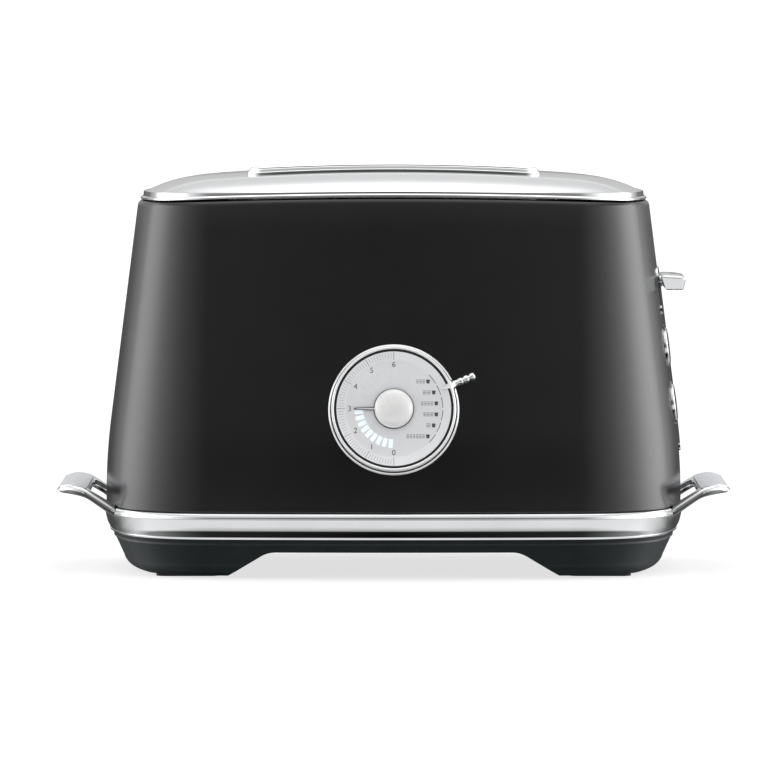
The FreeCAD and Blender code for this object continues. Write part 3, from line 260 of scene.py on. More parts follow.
def black_plastic():
    """Plain black moulding of the small parts; it also paints the shade in the gap round the dial's selector
    ring.
    """
    paint = Paint("black_plastic").set(Specular_IOR_Level=0.4)
    paint.tint(paint.noise(80, 4), (0.008, 0.008, 0.009), (0.014, 0.014, 0.015))
    paint.spread(paint.noise(300, 3), 0.4, 0.52)
    return paint.bump(paint.noise(1500, 3), 0.015).material


def black_rubber():
    """Matt moulded rubber with dust-pale speckle."""
    paint = Paint("black_rubber").set(Specular_IOR_Level=0.3)
    paint.ramp(paint.noise(400, 6), [(0.35, (0.010, 0.010, 0.010)), (0.75, (0.026, 0.026, 0.026))])
    paint.spread(paint.noise(250, 4), 0.7, 0.85)
    return paint.bump(paint.cells(1300), 0.03).material


def silver_face():
    """Pearly silver print on the dial's face."""
    paint = Paint("silver_face").set(Metallic=0.25, Coat_Weight=0.4, Coat_Roughness=0.12)
    paint.tint(paint.noise(50, 4), (0.75, 0.76, 0.78), (0.81, 0.82, 0.84))
    paint.spread(paint.noise(900, 3), 0.28, 0.4)
    return paint.bump(paint.noise(2200, 2), 0.003).material


def pearl_plastic():
    """Pearl-white moulded knob under a clear coat."""
    paint = Paint("pearl_plastic").set(Metallic=0.15, Coat_Weight=0.5, Coat_Roughness=0.2)
    paint.tint(paint.noise(160, 5), (0.70, 0.70, 0.70), (0.76, 0.76, 0.75))
    paint.spread(paint.noise(400, 3), 0.34, 0.42)
    return paint.bump(paint.noise(900, 2), 0.003).material


def printed_ink():
    """Screen-printed dark grey ink."""
    paint = Paint("printed_ink").set(Specular_IOR_Level=0.3)
    paint.tint(paint.noise(1500, 4), (0.05, 0.052, 0.06), (0.09, 0.092, 0.10))
    paint.spread(paint.noise(900, 3), 0.5, 0.62)
    return paint.bump(paint.noise(3000, 2), 0.004).material


def scale_ink():
    """Thinner grey ink of the fine scale."""
    paint = Paint("scale_ink").set(Specular_IOR_Level=0.3)
    paint.tint(paint.noise(1500, 4), (0.24, 0.245, 0.26), (0.32, 0.325, 0.34))
    paint.spread(paint.noise(900, 3), 0.5, 0.62)
    return paint.bump(paint.noise(3000, 2), 0.004).material


def needle_black():
    """Black enamel of the needle's edges; it also paints the shadow under the knob as a black collar."""
    paint = Paint("needle_black").set(Specular_IOR_Level=0.5)
    paint.tint(paint.noise(700, 4), (0.012, 0.012, 0.013), (0.022, 0.022, 0.024))
    paint.spread(paint.noise(500, 3), 0.3, 0.4)
    return paint.bump(paint.noise(2500, 2), 0.002).material


def lit_guide():
    """Light segment that is on: cool white, slightly uneven."""
    paint = Paint("lit_guide").set(Emission_Color=(0.80, 0.93, 1.0), Roughness=0.3)
    paint.tint(paint.noise(300, 3), (0.78, 0.86, 0.90), (0.86, 0.92, 0.95))
    paint.spread(paint.noise(250, 3), 0.16, 0.24, "Emission Strength")
    return paint.bump(paint.noise(2000, 2), 0.003).material


def dark_guide():
    """Light segment that is off: it almost matches the face."""
    paint = Paint("dark_guide").set(Metallic=0.2)
    paint.tint(paint.noise(300, 3), (0.72, 0.73, 0.75), (0.77, 0.78, 0.80))
    paint.spread(paint.noise(600, 3), 0.3, 0.4)
    return paint.bump(paint.noise(2000, 2), 0.003).material


def plated_steel():
    """Galvanised sheet with crystal spangle and long rolling marks."""
    paint = Paint("plated_steel").set(Metallic=1.0)
    paint.ramp(paint.cells(220), [(0.0, (0.42, 0.43, 0.44)), (0.8, (0.62, 0.63, 0.64))])
    paint.spread(paint.noise(180, 5, (1, 1, 12)), 0.28, 0.46)
    return paint.bump(paint.noise(400, 4, (1, 1, 10)), 0.01).material


def mica_sheet():
    """Pressed mica flakes, golden brown with pale cleavage."""
    paint = Paint("mica_sheet").set(Specular_IOR_Level=0.6, Coat_Weight=0.3, Coat_Roughness=0.3)
    browns = [(0.0, (0.30, 0.20, 0.10)), (0.5, (0.42, 0.31, 0.18)), (0.9, (0.55, 0.44, 0.30))]
    paint.ramp(paint.cells(160), browns)
    paint.spread(paint.noise(300, 5), 0.35, 0.6)
    return paint.bump(paint.cells(350), 0.03).material


def nichrome():
    """Resistance ribbon, straw and blue from heat."""
    paint = Paint("nichrome").set(Metallic=1.0)
    heat = [(0.3, (0.36, 0.30, 0.26)), (0.55, (0.48, 0.42, 0.36)), (0.75, (0.34, 0.35, 0.42))]
    paint.ramp(paint.noise(50, 4), heat)
    paint.spread(paint.noise(500, 3), 0.3, 0.45)
    return paint.bump(paint.noise(900, 3), 0.01).material


def copper_coil():
    """Enamelled copper winding: its turns show as fine ridges."""
    paint = Paint("copper_coil").set(Metallic=1.0)
    paint.tint(paint.noise(150, 4), (0.62, 0.26, 0.12), (0.78, 0.38, 0.20))
    paint.spread(paint.noise(200, 3), 0.22, 0.34)
    wave = paint.tree.nodes.new("ShaderNodeTexWave")
    wave.bands_direction = "Z"
    wave.inputs["Scale"].default_value = 500
    paint.link(paint.place, wave.inputs["Vector"])
    return paint.bump(wave.outputs["Fac"], 0.15).material


def circuit_board():
    """Green solder mask over faint copper tracks."""
    paint = Paint("circuit_board").set(Coat_Weight=0.4, Coat_Roughness=0.15)
    paint.ramp(paint.noise(220, 1, (1, 6, 1)), [(0.45, (0.012, 0.10, 0.045)), (0.55, (0.03, 0.17, 0.08))])
    paint.spread(paint.noise(300, 3), 0.35, 0.5)
    return paint.bump(paint.noise(220, 1, (1, 6, 1)), 0.03).material


def studio_floor():
    """Seamless pale paper."""
    paint = Paint("studio_floor").set(Specular_IOR_Level=0.1)
    paint.set(Emission_Color=(1.0, 1.0, 1.0), Emission_Strength=0.72)
    paint.tint(paint.noise(3, 4), (0.29, 0.29, 0.29), (0.31, 0.31, 0.31))
    paint.spread(paint.noise(20, 4), 0.8, 0.9)
    return paint.bump(paint.noise(400, 3), 0.02).material


PAINTS = {
    make.__name__: make()
    for make in (
        shell_paint, bright_chrome, lid_chrome, ring_chrome, cast_chrome, grip_satin, base_plastic,
        black_plastic, black_rubber, silver_face, pearl_plastic, printed_ink, scale_ink, needle_black,
        lit_guide, dark_guide, plated_steel, mica_sheet, nichrome, copper_coil, circuit_board, studio_floor,
    )
}


def dress_cad_nodes():
    """Give every carried-over CAD node the material of its own slot."""
    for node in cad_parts.values():
        for index, old in enumerate(node.data.materials):
            node.data.materials[index] = PAINTS[old.name.split(".")[0]]


# ---------------------------------------------------------------- mesh helpers


def add_piece(name, grid, body, paint, replaces, place=None, sharp=35.0, closed=True):
    """A piece from (verts, faces) in millimetres, with its material, body and replaced CAD node."""
    verts, faces = grid
    mesh = bpy.data.meshes.new(name)
    place = place or Matrix()
    mesh.from_pydata([(place @ Vector(v)) * MM for v in verts], [], faces)
    tidy = bmesh.new()
    tidy.from_mesh(mesh)
    bmesh.ops.remove_doubles(tidy, verts=tidy.verts, dist=1e-7)
    if closed:
        bmesh.ops.recalc_face_normals(tidy, faces=tidy.faces)
    tidy.to_mesh(mesh)
    tidy.free()
    mesh.materials.append(PAINTS[paint])
    piece = bpy.data.objects.new(name, mesh)
    bpy.context.scene.collection.objects.link(piece)
    return finish_piece(piece, body, replaces, sharp)


def finish_piece(piece, body, replaces=(), sharp=35.0):
    """Smooth shading with sharp edges, and the piece's body and replaced node."""
    piece.data.polygons.foreach_set("use_smooth", [True] * len(piece.data.polygons))
    piece.data.set_sharp_from_angle(angle=math.radians(sharp))
    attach(piece, body)
    if replaces:
        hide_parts(*replaces)
    return piece


def join_grids(parts):
    """Several (verts, faces) lists as one."""
    verts, faces = [], []
    for part_verts, part_faces in parts:
        start = len(verts)
        verts += part_verts
        faces += [tuple(start + index for index in face) for face in part_faces]
    return verts, faces


def loop_grid(rows, wrap_rows=True):
    """Faces over closed rows of equal length; the rows themselves may close into a ring."""
    count = len(rows[0])
    verts = [point for row in rows for point in row]
    faces = []
    pairs = range(len(rows)) if wrap_rows else range(len(rows) - 1)
    for row in pairs:
        following = (row + 1) % len(rows)
        for column in range(count):
            ahead = (column + 1) % count
            faces.append((row * count + column, row * count + ahead, following * count + ahead,
                          following * count + column))
    return verts, faces


def capped(rows):
    """Faces over a run of closed rows, and one over each end."""
    verts, faces = loop_grid(rows, wrap_rows=False)
    count = len(rows[0])
    faces.append(tuple(range(count)))
    faces.append(tuple((len(rows) - 1) * count + index for index in range(count)))
    return verts, faces


def lathe(profile, segments=96, closed=True):
    """A turned shape about local Z from (radius, height) points; a point on the axis becomes a pole."""
    rows = []
    for radius, height in profile:
        row = []
        for step in range(segments):
            angle = 2 * math.pi * step / segments
            row.append((radius * math.cos(angle), radius * math.sin(angle), height))
        rows.append(row)
    return loop_grid(rows, wrap_rows=closed)


def arc(centre, radius, start, stop, steps):
    """Points of a round stretch, from one angle to another in degrees."""
    points = []
    for step in range(steps + 1):
        angle = math.radians(start + (stop - start) * step / steps)
        points.append((centre[0] + radius * math.cos(angle), centre[1] + radius * math.sin(angle)))
    return points


def plate(points, low, high):
    """A flat plate with a plan outline, between two levels or with a level for every point."""
    lows = low if isinstance(low, list) else [low] * len(points)
    highs = high if isinstance(high, list) else [high] * len(points)
    count = len(points)
    verts = [(x, y, z) for (x, y), z in zip(points, lows)] + [(x, y, z) for (x, y), z in zip(points, highs)]
    faces = [tuple(range(count))[::-1], tuple(range(count, 2 * count))]
    for index in range(count):
        ahead = (index + 1) % count
        faces.append((index, ahead, count + ahead, count + index))
    return verts, faces


def cut_away(piece, cutters):
    """Take closed shapes out of a piece, and drop the cutters."""
    for number, (verts, faces) in enumerate(cutters):
        mesh = bpy.data.meshes.new(f"cutter_{number}")
        mesh.from_pydata([tuple(Vector(v) * MM) for v in verts], [], faces)
        solid = bmesh.new()
        solid.from_mesh(mesh)
        bmesh.ops.recalc_face_normals(solid, faces=solid.faces)
        solid.to_mesh(mesh)
        solid.free()
        cutter = bpy.data.objects.new(f"cutter_{number}", mesh)
        bpy.context.scene.collection.objects.link(cutter)
        modifier = piece.modifiers.new("cut", "BOOLEAN")
        modifier.operation = "DIFFERENCE"
        modifier.solver = "EXACT"
        modifier.object = cutter
        bpy.context.view_layer.update()
        seen = piece.evaluated_get(bpy.context.evaluated_depsgraph_get())
        result = bpy.data.meshes.new_from_object(seen)
        piece.modifiers.clear()
        piece.data = result
        bpy.data.objects.remove(cutter)


# ---------------------------------------------------------------- the body's outline and wall


def quarter_arcs():
    """Centre, radius and angles of the end bow, the corner and the rear bow, which are all tangent."""
    bow_centre = Vector((0, HALF_DEPTH - FRONT_BOW))
    end_centre = Vector((HALF_WIDTH - END_BOW, 0))
    to_bow, to_end = FRONT_BOW - CORNER, END_BOW - CORNER
    span = end_centre - bow_centre
    along = (to_bow**2 - to_end**2 + span.length_squared) / (2 * span.length)
    across = math.sqrt(to_bow**2 - along**2)
    way = span.normalized()
    corner_centre = bow_centre + way * along + Vector((way.y, -way.x)) * across
    end_swing = math.atan2(*(corner_centre - end_centre).yx)
    bow_swing = math.atan2(*(corner_centre - bow_centre).yx)
    return [
        (end_centre, END_BOW, 0.0, end_swing, 22),
        (corner_centre, CORNER, end_swing, bow_swing, 34),
        (bow_centre, FRONT_BOW, bow_swing, math.pi / 2, 44),
    ]


ARCS = quarter_arcs()


def outline_stations():
    """Places round the outline: the centre and radius of each one's arc, and the way it faces."""
    quarter = []
    for centre, radius, start, stop, count in ARCS:
        for step in range(count):
            angle = start + (stop - start) * step / count
            quarter.append((centre.x, centre.y, radius, math.cos(angle), math.sin(angle)))
    middle = (ARCS[2][0].x, ARCS[2][0].y, FRONT_BOW, 0.0, 1.0)

    def mirrored(places, side_x, side_y):
        return [(x * side_x, y * side_y, r, dx * side_x, dy * side_y) for x, y, r, dx, dy in places]

    end = quarter[:1]
    rest = quarter[1:]
    loop = end + rest + [middle] + mirrored(rest[::-1], -1, 1) + mirrored(end, -1, 1)
    return loop + mirrored(rest, -1, -1) + mirrored([middle], 1, -1) + mirrored(rest[::-1], 1, -1)


STATIONS = outline_stations()


def spot_on(station, inset):
    x, y, radius, dx, dy = station
    return x + (radius - inset) * dx, y + (radius - inset) * dy


def carried_round(profile):
    """A closed profile carried round the outline: (inset, height) points, or a function that gives them."""
    columns = []
    for station in STATIONS:
        points = profile(station) if callable(profile) else profile
        columns.append([(*spot_on(station, inset), height) for inset, height in points])
    rows = [list(row) for row in zip(*columns)]
    return loop_grid(rows)


def wall_inset(height):
    """How far the wall has come in from the base outline at a height."""
    rise = min(max(height, WALL_FOOT), WALL_BEND_TOP) - WALL_FOOT
    bend = WALL_FOOT_RADIUS - math.sqrt(WALL_FOOT_RADIUS**2 - rise**2)
    return bend + WALL_SLOPE * max(height - WALL_BEND_TOP, 0)


def rim_height(x):
    return RIM_CREST - x**2 / (2 * RIM_ARCH)


def inside_by(x, y, inset):
    """How far a point of the plan lies inside the outline at an inset."""
    point = Vector((abs(x), abs(y)))
    (end_centre, _, _, end_swing, _), (corner_centre, _, _, bow_swing, _), (bow_centre, _, _, _, _) = ARCS
    away = point - corner_centre
    if end_swing <= math.atan2(away.y, away.x) <= bow_swing:
        return CORNER - inset - away.length
    to_end = END_BOW - inset - (point - end_centre).length
    to_bow = FRONT_BOW - inset - (point - bow_centre).length
    return min(to_end, to_bow)


def lid_height(x, y):
    """Top face of the lid: an arched dome that falls away towards its rim."""
    dome = x**2 / (2 * RIM_ARCH) + (x**2 + y**2) / (2 * LID_DOME)
    share = max(1 - max(inside_by(x, y, LID_INSET), 0) / LID_EDGE_REACH, 0)
    return LID_CREST - dome - LID_EDGE_DROP * share**LID_EDGE_POWER


# ---------------------------------------------------------------- frames for the dial and the buttons


def dial_frame(turn=0.0):
    """Local Z leaves the front wall at the dial's centre; local X points right before the turn."""
    centre = Vector((0, wall_inset(DIAL_HEIGHT) - HALF_DEPTH, DIAL_HEIGHT))
    tilt = Matrix.Rotation(math.pi / 2 - LEAN, 4, "X")
    return Matrix.Translation(centre) @ tilt @ Matrix.Rotation(math.radians(turn), 4, "Z")


def end_frame(offset, height):
    """Local Z leaves the +X end wall at a button's centre, and local X points down the wall."""
    inset = wall_inset(height)
    bow = END_BOW - inset
    swing = math.asin(offset / bow)
    reach = HALF_WIDTH - inset - bow + bow * math.cos(swing)
    turn = Matrix.Rotation(swing, 4, "Z") @ Matrix.Rotation(math.pi / 2 - LEAN, 4, "Y")
    return Matrix.Translation(Vector((reach, offset, height))) @ turn


def placed(grid, place):
    verts, faces = grid
    return [tuple(place @ Vector(v)) for v in verts], faces


# ---------------------------------------------------------------- shell, lid, band and base


def make_shell():
    """Pressed wrap with a rolled top edge, an inward flange, and holes for the dial, lever and buttons."""
    edge = 3.0

    def profile(station):
        x = spot_on(station, LID_INSET)[0]
        top = rim_height(x)
        tangent = top - edge + edge * math.sin(LEAN)
        points = [(0.5, SHELL_LOW.z), (0.0, SHELL_LOW.z + 0.5), (0.0, WALL_FOOT)]
        for step in range(1, 11):
            height = WALL_FOOT + (WALL_BEND_TOP - WALL_FOOT) * step / 10
            points.append((wall_inset(height), height))
        for step in range(1, 10):
            height = WALL_BEND_TOP + (tangent - WALL_BEND_TOP) * step / 9
            points.append((wall_inset(height), height))
        centre = wall_inset(tangent) + edge * math.cos(LEAN)
        for step in range(1, 9):
            angle = LEAN + (math.pi / 2 - LEAN) * step / 8
            points.append((centre - edge * math.cos(angle), top - edge + edge * math.sin(angle)))
        flange = centre + 3.5
        points += [(flange, top), (flange, top - SHELL_GAUGE), (centre + 0.5, top - SHELL_GAUGE)]
        points.append((wall_inset(top - 4 * SHELL_GAUGE) + SHELL_GAUGE, top - 4 * SHELL_GAUGE))
        for height in (150.0, 110.0, WALL_BEND_TOP, WALL_FOOT):
            points.append((wall_inset(height) + SHELL_GAUGE, height))
        return points + [(SHELL_GAUGE, SHELL_LOW.z)]

    shell = add_piece("shell", carried_round(profile), "frame", "shell_paint", ["outer_shell"])
    dial_hole, button_hole, half_track = 30.0, 10.35, 4.0
    hole = lathe([(0, -20), (dial_hole, -20), (dial_hole, 10), (0, 10)], 96, closed=False)
    low, high = TRACK_LOW.z + 3, (KNOB_LOW.z + KNOB_HIGH.z) / 2 + 4
    track = plate([(100, -half_track), (160, -half_track), (160, half_track), (100, half_track)], low, high)
    cutters = [placed(hole, dial_frame()), track]
    bore = lathe([(0, -10), (button_hole, -10), (button_hole, 10), (0, 10)], 64, closed=False)
    for height in BUTTON_HEIGHTS.values():
        for side in SIDES.values():
            cutters.append(placed(bore, end_frame(side * BUTTON_OFFSET, height)))
    cut_away(shell, cutters)
    finish_piece(shell, "frame")


def slot_outline(side, grow):
    """Plan outline of one toast slot, grown all round."""
    half_length = SLOT_HALF_LENGTH + grow
    half_width = SLOT_HALF_WIDTH + grow
    radius = SLOT_CORNER + grow
    middle = side * SLOT_OFFSET
    points = []
    for start, way_x, way_y in ((0, 1, 1), (90, -1, 1), (180, -1, -1), (270, 1, -1)):
        centre = (way_x * (half_length - radius), middle + way_y * (half_width - radius))
        points += arc(centre, radius, start, start + 90, 8)
        straight = half_length - radius if way_x * way_y > 0 else 0
        if straight:
            for step in range(1, 20):
                share = 1 - 2 * step / 20
                points.append((way_x * share * straight, middle + way_y * half_width))
    return points


def make_lid():
    """Domed chrome lid on a raised lip, with a fine groove between the two."""
    lip_gap, lip_top, groove = 0.6, 2.1, 0.7
    wall_start, wall_lean = 1.4, 0.12
    low_wall, wall_growth, wall_span = 0.9, 1.6, 125

    def edge_wall(x):
        """Height of the small wall between groove and dome, which grows towards the ends."""
        return low_wall + wall_growth * min(abs(x) / wall_span, 1) ** 3

    def edge_profile(station):
        x = spot_on(station, LID_INSET)[0]
        rim = rim_height(x)
        return [
            (LID_INSET + LID_GAUGE, rim + lip_gap),
            (LID_INSET + 0.15, rim + lip_gap),
            (LID_INSET, rim + lip_gap + 0.1),
            (LID_INSET + 0.12, rim + lip_gap + 0.9),
            (LID_INSET + 0.25, rim + lip_top - 0.6),
            (LID_INSET + 0.55, rim + lip_top - 0.35),
            (LID_INSET + 0.85, rim + lip_top - 0.1),
            (LID_INSET + 1.15, rim + lip_top),
            (LID_INSET + 1.2, rim + lip_top - groove),
            (LID_INSET + 1.35, rim + lip_top - groove),
            (LID_INSET + wall_start + wall_lean * edge_wall(x), rim + lip_top + edge_wall(x)),
        ]

    def skin_height(x, y, inside):
        """The dome, pulled down to the small wall's top over its first few millimetres."""
        reach = 6.0
        edge_top = rim_height(x) + lip_top + edge_wall(x)
        share = max(1 - (inside - wall_start - wall_lean * edge_wall(x)) / reach, 0)
        start = lid_height(x, y)
        return start - (start - edge_top) * share**3

    columns = []
    depths = [1.9, 2.2, 2.6, 3.4, 4.4, 5.6, 7.0, 9.0, 11.0, 13.5, 16.0, 19.0, 22.0, 25.0, 28.0]
    shares = [1 - step / 14 for step in range(1, 14)] + [0.02]
    for station in STATIONS:
        column = [(*spot_on(station, inset), height) for inset, height in edge_profile(station)]
        for depth in depths:
            x, y = spot_on(station, LID_INSET + depth)
            column.append((x, y, skin_height(x, y, depth)))
        last_x, last_y = spot_on(station, LID_INSET + depths[-1])
        for share in shares:
            x, y = last_x * share, last_y * share
            column.append((x, y, skin_height(x, y, inside_by(x, y, LID_INSET))))
        for share in shares[::-1] + [1.0]:
            x, y = last_x * share, last_y * share
            column.append((x, y, skin_height(x, y, inside_by(x, y, LID_INSET)) - LID_GAUGE))
        for depth in (16.0, 7.0, 3.0):
            x, y = spot_on(station, LID_INSET + depth)
            column.append((x, y, skin_height(x, y, depth) - LID_GAUGE))
        columns.append(column)
    rows = [list(row) for row in zip(*columns)]
    middle = len(edge_profile(STATIONS[0])) + len(depths) + len(shares)
    verts, faces = loop_grid(rows)
    count = len(STATIONS)
    faces = [face for face in faces if face[0] // count != middle - 1]
    faces.append(tuple((middle - 1) * count + column for column in range(count)))
    faces.append(tuple(middle * count + column for column in range(count)))
    lid = add_piece("lid", (verts, faces), "frame", "lid_chrome", ["top_lid"], sharp=33)
    cutters = [plate(slot_outline(side, 0.7), 150, 240) for side in SIDES.values()]
    cut_away(lid, cutters)
    finish_piece(lid, "frame", sharp=33)
    for name, side in SIDES.items():
        make_slot_rim(name, side)


def make_slot_rim(name, side):
    """Rolled bead round one slot: (growth, height above the dome) points, turned down to one level inside."""
    low = 194.0
    bead = [(0.0, None), (0.0, 1.2), (0.12, 1.45), (0.4, 1.55), (0.7, 1.55), (0.9, 1.45), (0.98, 1.25)]
    bead += [(0.99, 1.18), (1.17, -0.5), (1.12, -1.2), (1.12, None)]
    rows = []
    for grow, lift in bead:
        row = []
        for x, y in slot_outline(side, grow):
            row.append((x, y, low if lift is None else lid_height(x, y) + lift))
        rows.append(row)
    add_piece(f"slot_rim_{name}", loop_grid(rows), "frame", "lid_chrome", ["top_lid"], sharp=60)


def make_band():
    """Chrome band: steep top bevel, fine step, a face that leans in downwards and a rolled bottom edge."""
    proud = HALF_WIDTH - BAND_HIGH.x
    low, high = BAND_LOW.z, BAND_HIGH.z
    profile = [(3.8, high), (proud + 1.2, high), (proud + 1.0, high - 0.12)]
    profile += [(proud + 0.62, high - 2.0), (proud + 0.6, high - 2.25), (proud + 0.95, high - 2.35)]
    profile += [(proud + 0.9, high - 2.6), (proud + 0.1, high - 2.75)]
    face_top, face_low, draft = high - 3.0, low + 4.0, 1.35
    for step in range(9):
        share = step / 8
        height = face_top + (face_low - face_top) * share
        crown = 0.1 * (2 * share - 1) ** 2
        profile.append((proud + draft * share + crown, height))
    profile += [(proud + 1.75, low + 3.3), (proud + 2.25, low + 2.4), (proud + 2.75, low + 1.5)]
    profile += [(proud + 2.95, low + 1.1), (proud + 2.75, low + 0.9), (proud + 2.85, low + 0.15)]
    profile += [(proud + 3.1, low), (3.8, low)]
    add_piece("band", carried_round(profile), "frame", "bright_chrome", ["base_band"], sharp=50)


# ---------------------------------------------------------------- carrying handles


def handle_top(x):
    """Height of a handle's top face along X: it climbs from the band, then levels off at the grip."""
    return smooth_curve(x, HANDLE_TOP)


def handle_bottom(x):
    """Height of a handle's underside along X."""
    return smooth_curve(x, HANDLE_BOTTOM)


HANDLE_TOP = [(140, 33.4), (150.2, 39.8), (156.8, 43.5), (164.0, 45.0), (169.7, 43.8), (171.3, 42.6)]
HANDLE_BOTTOM = [(140, 27.6), (146.0, 31.4), (151.0, 34.9), (156.8, 38.5)]
HANDLE_BOTTOM += [(165.0, 40.3), (169.7, 40.6), (171.3, 41.6)]


def smooth_curve(x, points):
    """Cubic curve through given (x, height) points."""
    spots = [points[0]] + points + [points[-1]]
    x = min(max(x, points[0][0]), points[-1][0])
    for index in range(1, len(spots) - 2):
        (x0, z0), (x1, z1), (x2, z2), (x3, z3) = spots[index - 1:index + 3]
        if x1 <= x <= x2:
            t = (x - x1) / (x2 - x1)
            m1 = (z2 - z0) / (x2 - x0) * (x2 - x1)
            m2 = (z3 - z1) / (x3 - x1) * (x2 - x1)
            a, b = 2 * t**3 - 3 * t**2 + 1, t**3 - 2 * t**2 + t
            c, d = -2 * t**3 + 3 * t**2, t**3 - t**2
            return a * z1 + b * m1 + c * z2 + d * m2
    return points[-1][1]


def handle_paths():
    """Outer and inner plan edges of the loop, point for point, from the front root to the rear root."""
    tip, span = HANDLE_HIGH.x, HANDLE_HIGH.y
    hole_edge, hole_span = 155.0, 42.4
    outer_round, inner_round = 15.0, 6.0
    root = 140.2
    outer, inner = [], []
    for step in range(8):
        share = step / 8
        outer.append((root + (tip - outer_round - root) * share, -span))
        inner.append((root + (hole_edge - inner_round - root) * share, -hole_span))
    outer += arc((tip - outer_round, -span + outer_round), outer_round, -90, 0, 12)
    inner += arc((hole_edge - inner_round, -hole_span + inner_round), inner_round, -90, 0, 12)
    for step in range(1, 12):
        share = step / 12
        outer.append((tip, (-span + outer_round) * (1 - share)))
        inner.append((hole_edge, (-hole_span + inner_round) * (1 - share)))
    front = list(zip(outer, inner))
    middle = [((tip, 0.0), (hole_edge, 0.0))]
    rear = [((ox, -oy), (ix, -iy)) for (ox, oy), (ix, iy) in front[::-1]]
    return front + middle + rear


def make_handle(name, side):
    """Cast loop: a rounded bar that rises from the band and joins in a flat grip."""
    round_off, crown_rise, side_draft = 1.7, 0.35, 0.9
    steps = 20
    rows = []
    for outer, inner in handle_paths():
        width = math.dist(outer, inner)
        top_row, bottom_row = [], []
        for step in range(steps + 1):
            share = 0.5 - 0.5 * math.cos(math.pi * step / steps)
            x = inner[0] + (outer[0] - inner[0]) * share
            y = inner[1] + (outer[1] - inner[1]) * share
            edge = min(share, 1 - share) * width
            fall = min(edge / round_off, 1)
            full = math.sqrt(1 - (1 - fall) ** 2)
            high, low = handle_top(x), handle_bottom(x)
            middle, half = (high + low) / 2, (high - low) / 2
            crown = crown_rise * math.sin(math.pi * share)
            top_row.append((side * x, y, middle + half * full - crown_rise + crown))
            draft = side_draft * (0.5 - share)
            way = Vector((outer[0] - inner[0], outer[1] - inner[1])).normalized() * draft
            bottom_row.append((side * (x + way.x), y + way.y, middle - half * full))
        rows.append(top_row + bottom_row[-2:0:-1])
    add_piece(f"handle_{name}_loop", capped(rows), "frame", "cast_chrome", [f"handle_{name}"], sharp=60)
    make_grip_pad(name, side)


def make_grip_pad(name, side):
    """Blasted panel that covers the grip's top face up to a fine bright edge."""
    border, proud, sunk = 1.2, 0.15, 0.8
    near, far, span = 155.8, HANDLE_HIGH.x - border, HANDLE_HIGH.y - border
    near_radius, far_radius = 2.0, 12.5
    columns = 26
    rows = []
    for step in range(25):
        share = 0.5 - 0.5 * math.cos(math.pi * step / 24)
        x = near + (far - near) * share
        inset = 0.0
        for radius, gap in ((near_radius, x - near), (far_radius, far - x)):
            if gap < radius:
                inset = max(inset, radius - math.sqrt(radius**2 - (radius - gap) ** 2))
        row = []
        for index in range(columns + 1):
            y = (span - inset) * (2 * index / columns - 1)
            row.append((side * x, y, handle_top(x) + proud))
        rows.append(row)
    verts = [point for row in rows for point in row]
    below = [(x, y, z - sunk) for x, y, z in verts]
    width = columns + 1
    faces = []
    for row in range(len(rows) - 1):
        for index in range(columns):
            a = row * width + index
            faces.append((a, a + 1, a + width + 1, a + width))
    total = len(verts)
    faces += [tuple(total + index for index in face[::-1]) for face in faces]
    rim = list(range(width)) + [row * width + columns for row in range(1, len(rows))]
    rim += [(len(rows) - 1) * width + index for index in range(columns - 1, -1, -1)]
    rim += [row * width for row in range(len(rows) - 2, 0, -1)]
    for a, b in zip(rim, rim[1:] + rim[:1]):
        faces.append((a, b, total + b, total + a))
    add_piece(f"grip_pad_{name}", (verts + below, faces), "frame", "grip_satin", [f"handle_{name}"])


# ---------------------------------------------------------------- the dial


def face_level(radius):
    """Level of the printed face: flat in the middle, then a sloping rim."""
    return FACE_LEVEL + FACE_RISE * max(radius - FACE_FLAT, 0) / (FACE_RADIUS - FACE_FLAT)


def polar(radius, angle):
    return radius * math.cos(math.radians(angle)), radius * math.sin(math.radians(angle))


def printed(points):
    """A thin printed mark on the face with the outline of some points."""
    levels = [face_level(math.hypot(x, y)) for x, y in points]
    return plate(points, [z - PRINT_PROUD for z in levels], [z + PRINT_PROUD for z in levels])


def print_on_face(name, marks, paint):
    """Printed marks that ride on the face as one piece."""
    add_piece(name, join_grids(marks), "frame", paint, ["dial_face"], dial_frame())


def spoke(angle, near, far, width):
    """Outline of a straight mark along a radius."""
    half = width / 2
    turn = Matrix.Rotation(math.radians(angle), 2)
    return [tuple(turn @ Vector(p)) for p in ((near, -half), (far, -half), (far, half), (near, half))]


def ring_mark(radius, width, start, stop, steps=8):
    """Outline of a mark that follows a circle."""
    return arc((0, 0), radius, start, stop, steps) + arc((0, 0), radius + width, stop, start, steps)


def make_dial_flange():
    """Low rounded ring on the wall, with a thin black ring between it and the selector ring that paints the
    shadow in that gap.
    """
    bore, edge = 30.1, FLANGE_RADIUS
    profile = [(bore, 0.0), (edge, 0.0), (edge, 0.7)]
    profile += arc((edge - 1.0, 0.95), 1.0, 0, 70, 6)
    profile += [(edge - 1.6, FLANGE_HEIGHT), (bore + 0.2, FLANGE_HEIGHT), (bore, FLANGE_HEIGHT - 0.2)]
    ring = lathe(profile, 160)
    add_piece("flange_ring", ring, "frame", "ring_chrome", ["dial_flange"], dial_frame(), sharp=50)
    # Painted shade: a thin black annulus at the flange's inner edge stands in for the shadow in the gap next
    # to the selector ring.
    low, high = FLANGE_HEIGHT - 0.1, FLANGE_HEIGHT + 0.05
    near, far = bore + 0.1, edge - 1.0
    painted_shade_ring = lathe([(near, low), (far, low), (far, high), (near, high)], 160)
    add_piece("flange_painted_shade_ring", painted_shade_ring, "frame", "black_plastic", ["dial_flange"], dial_frame(), sharp=50)


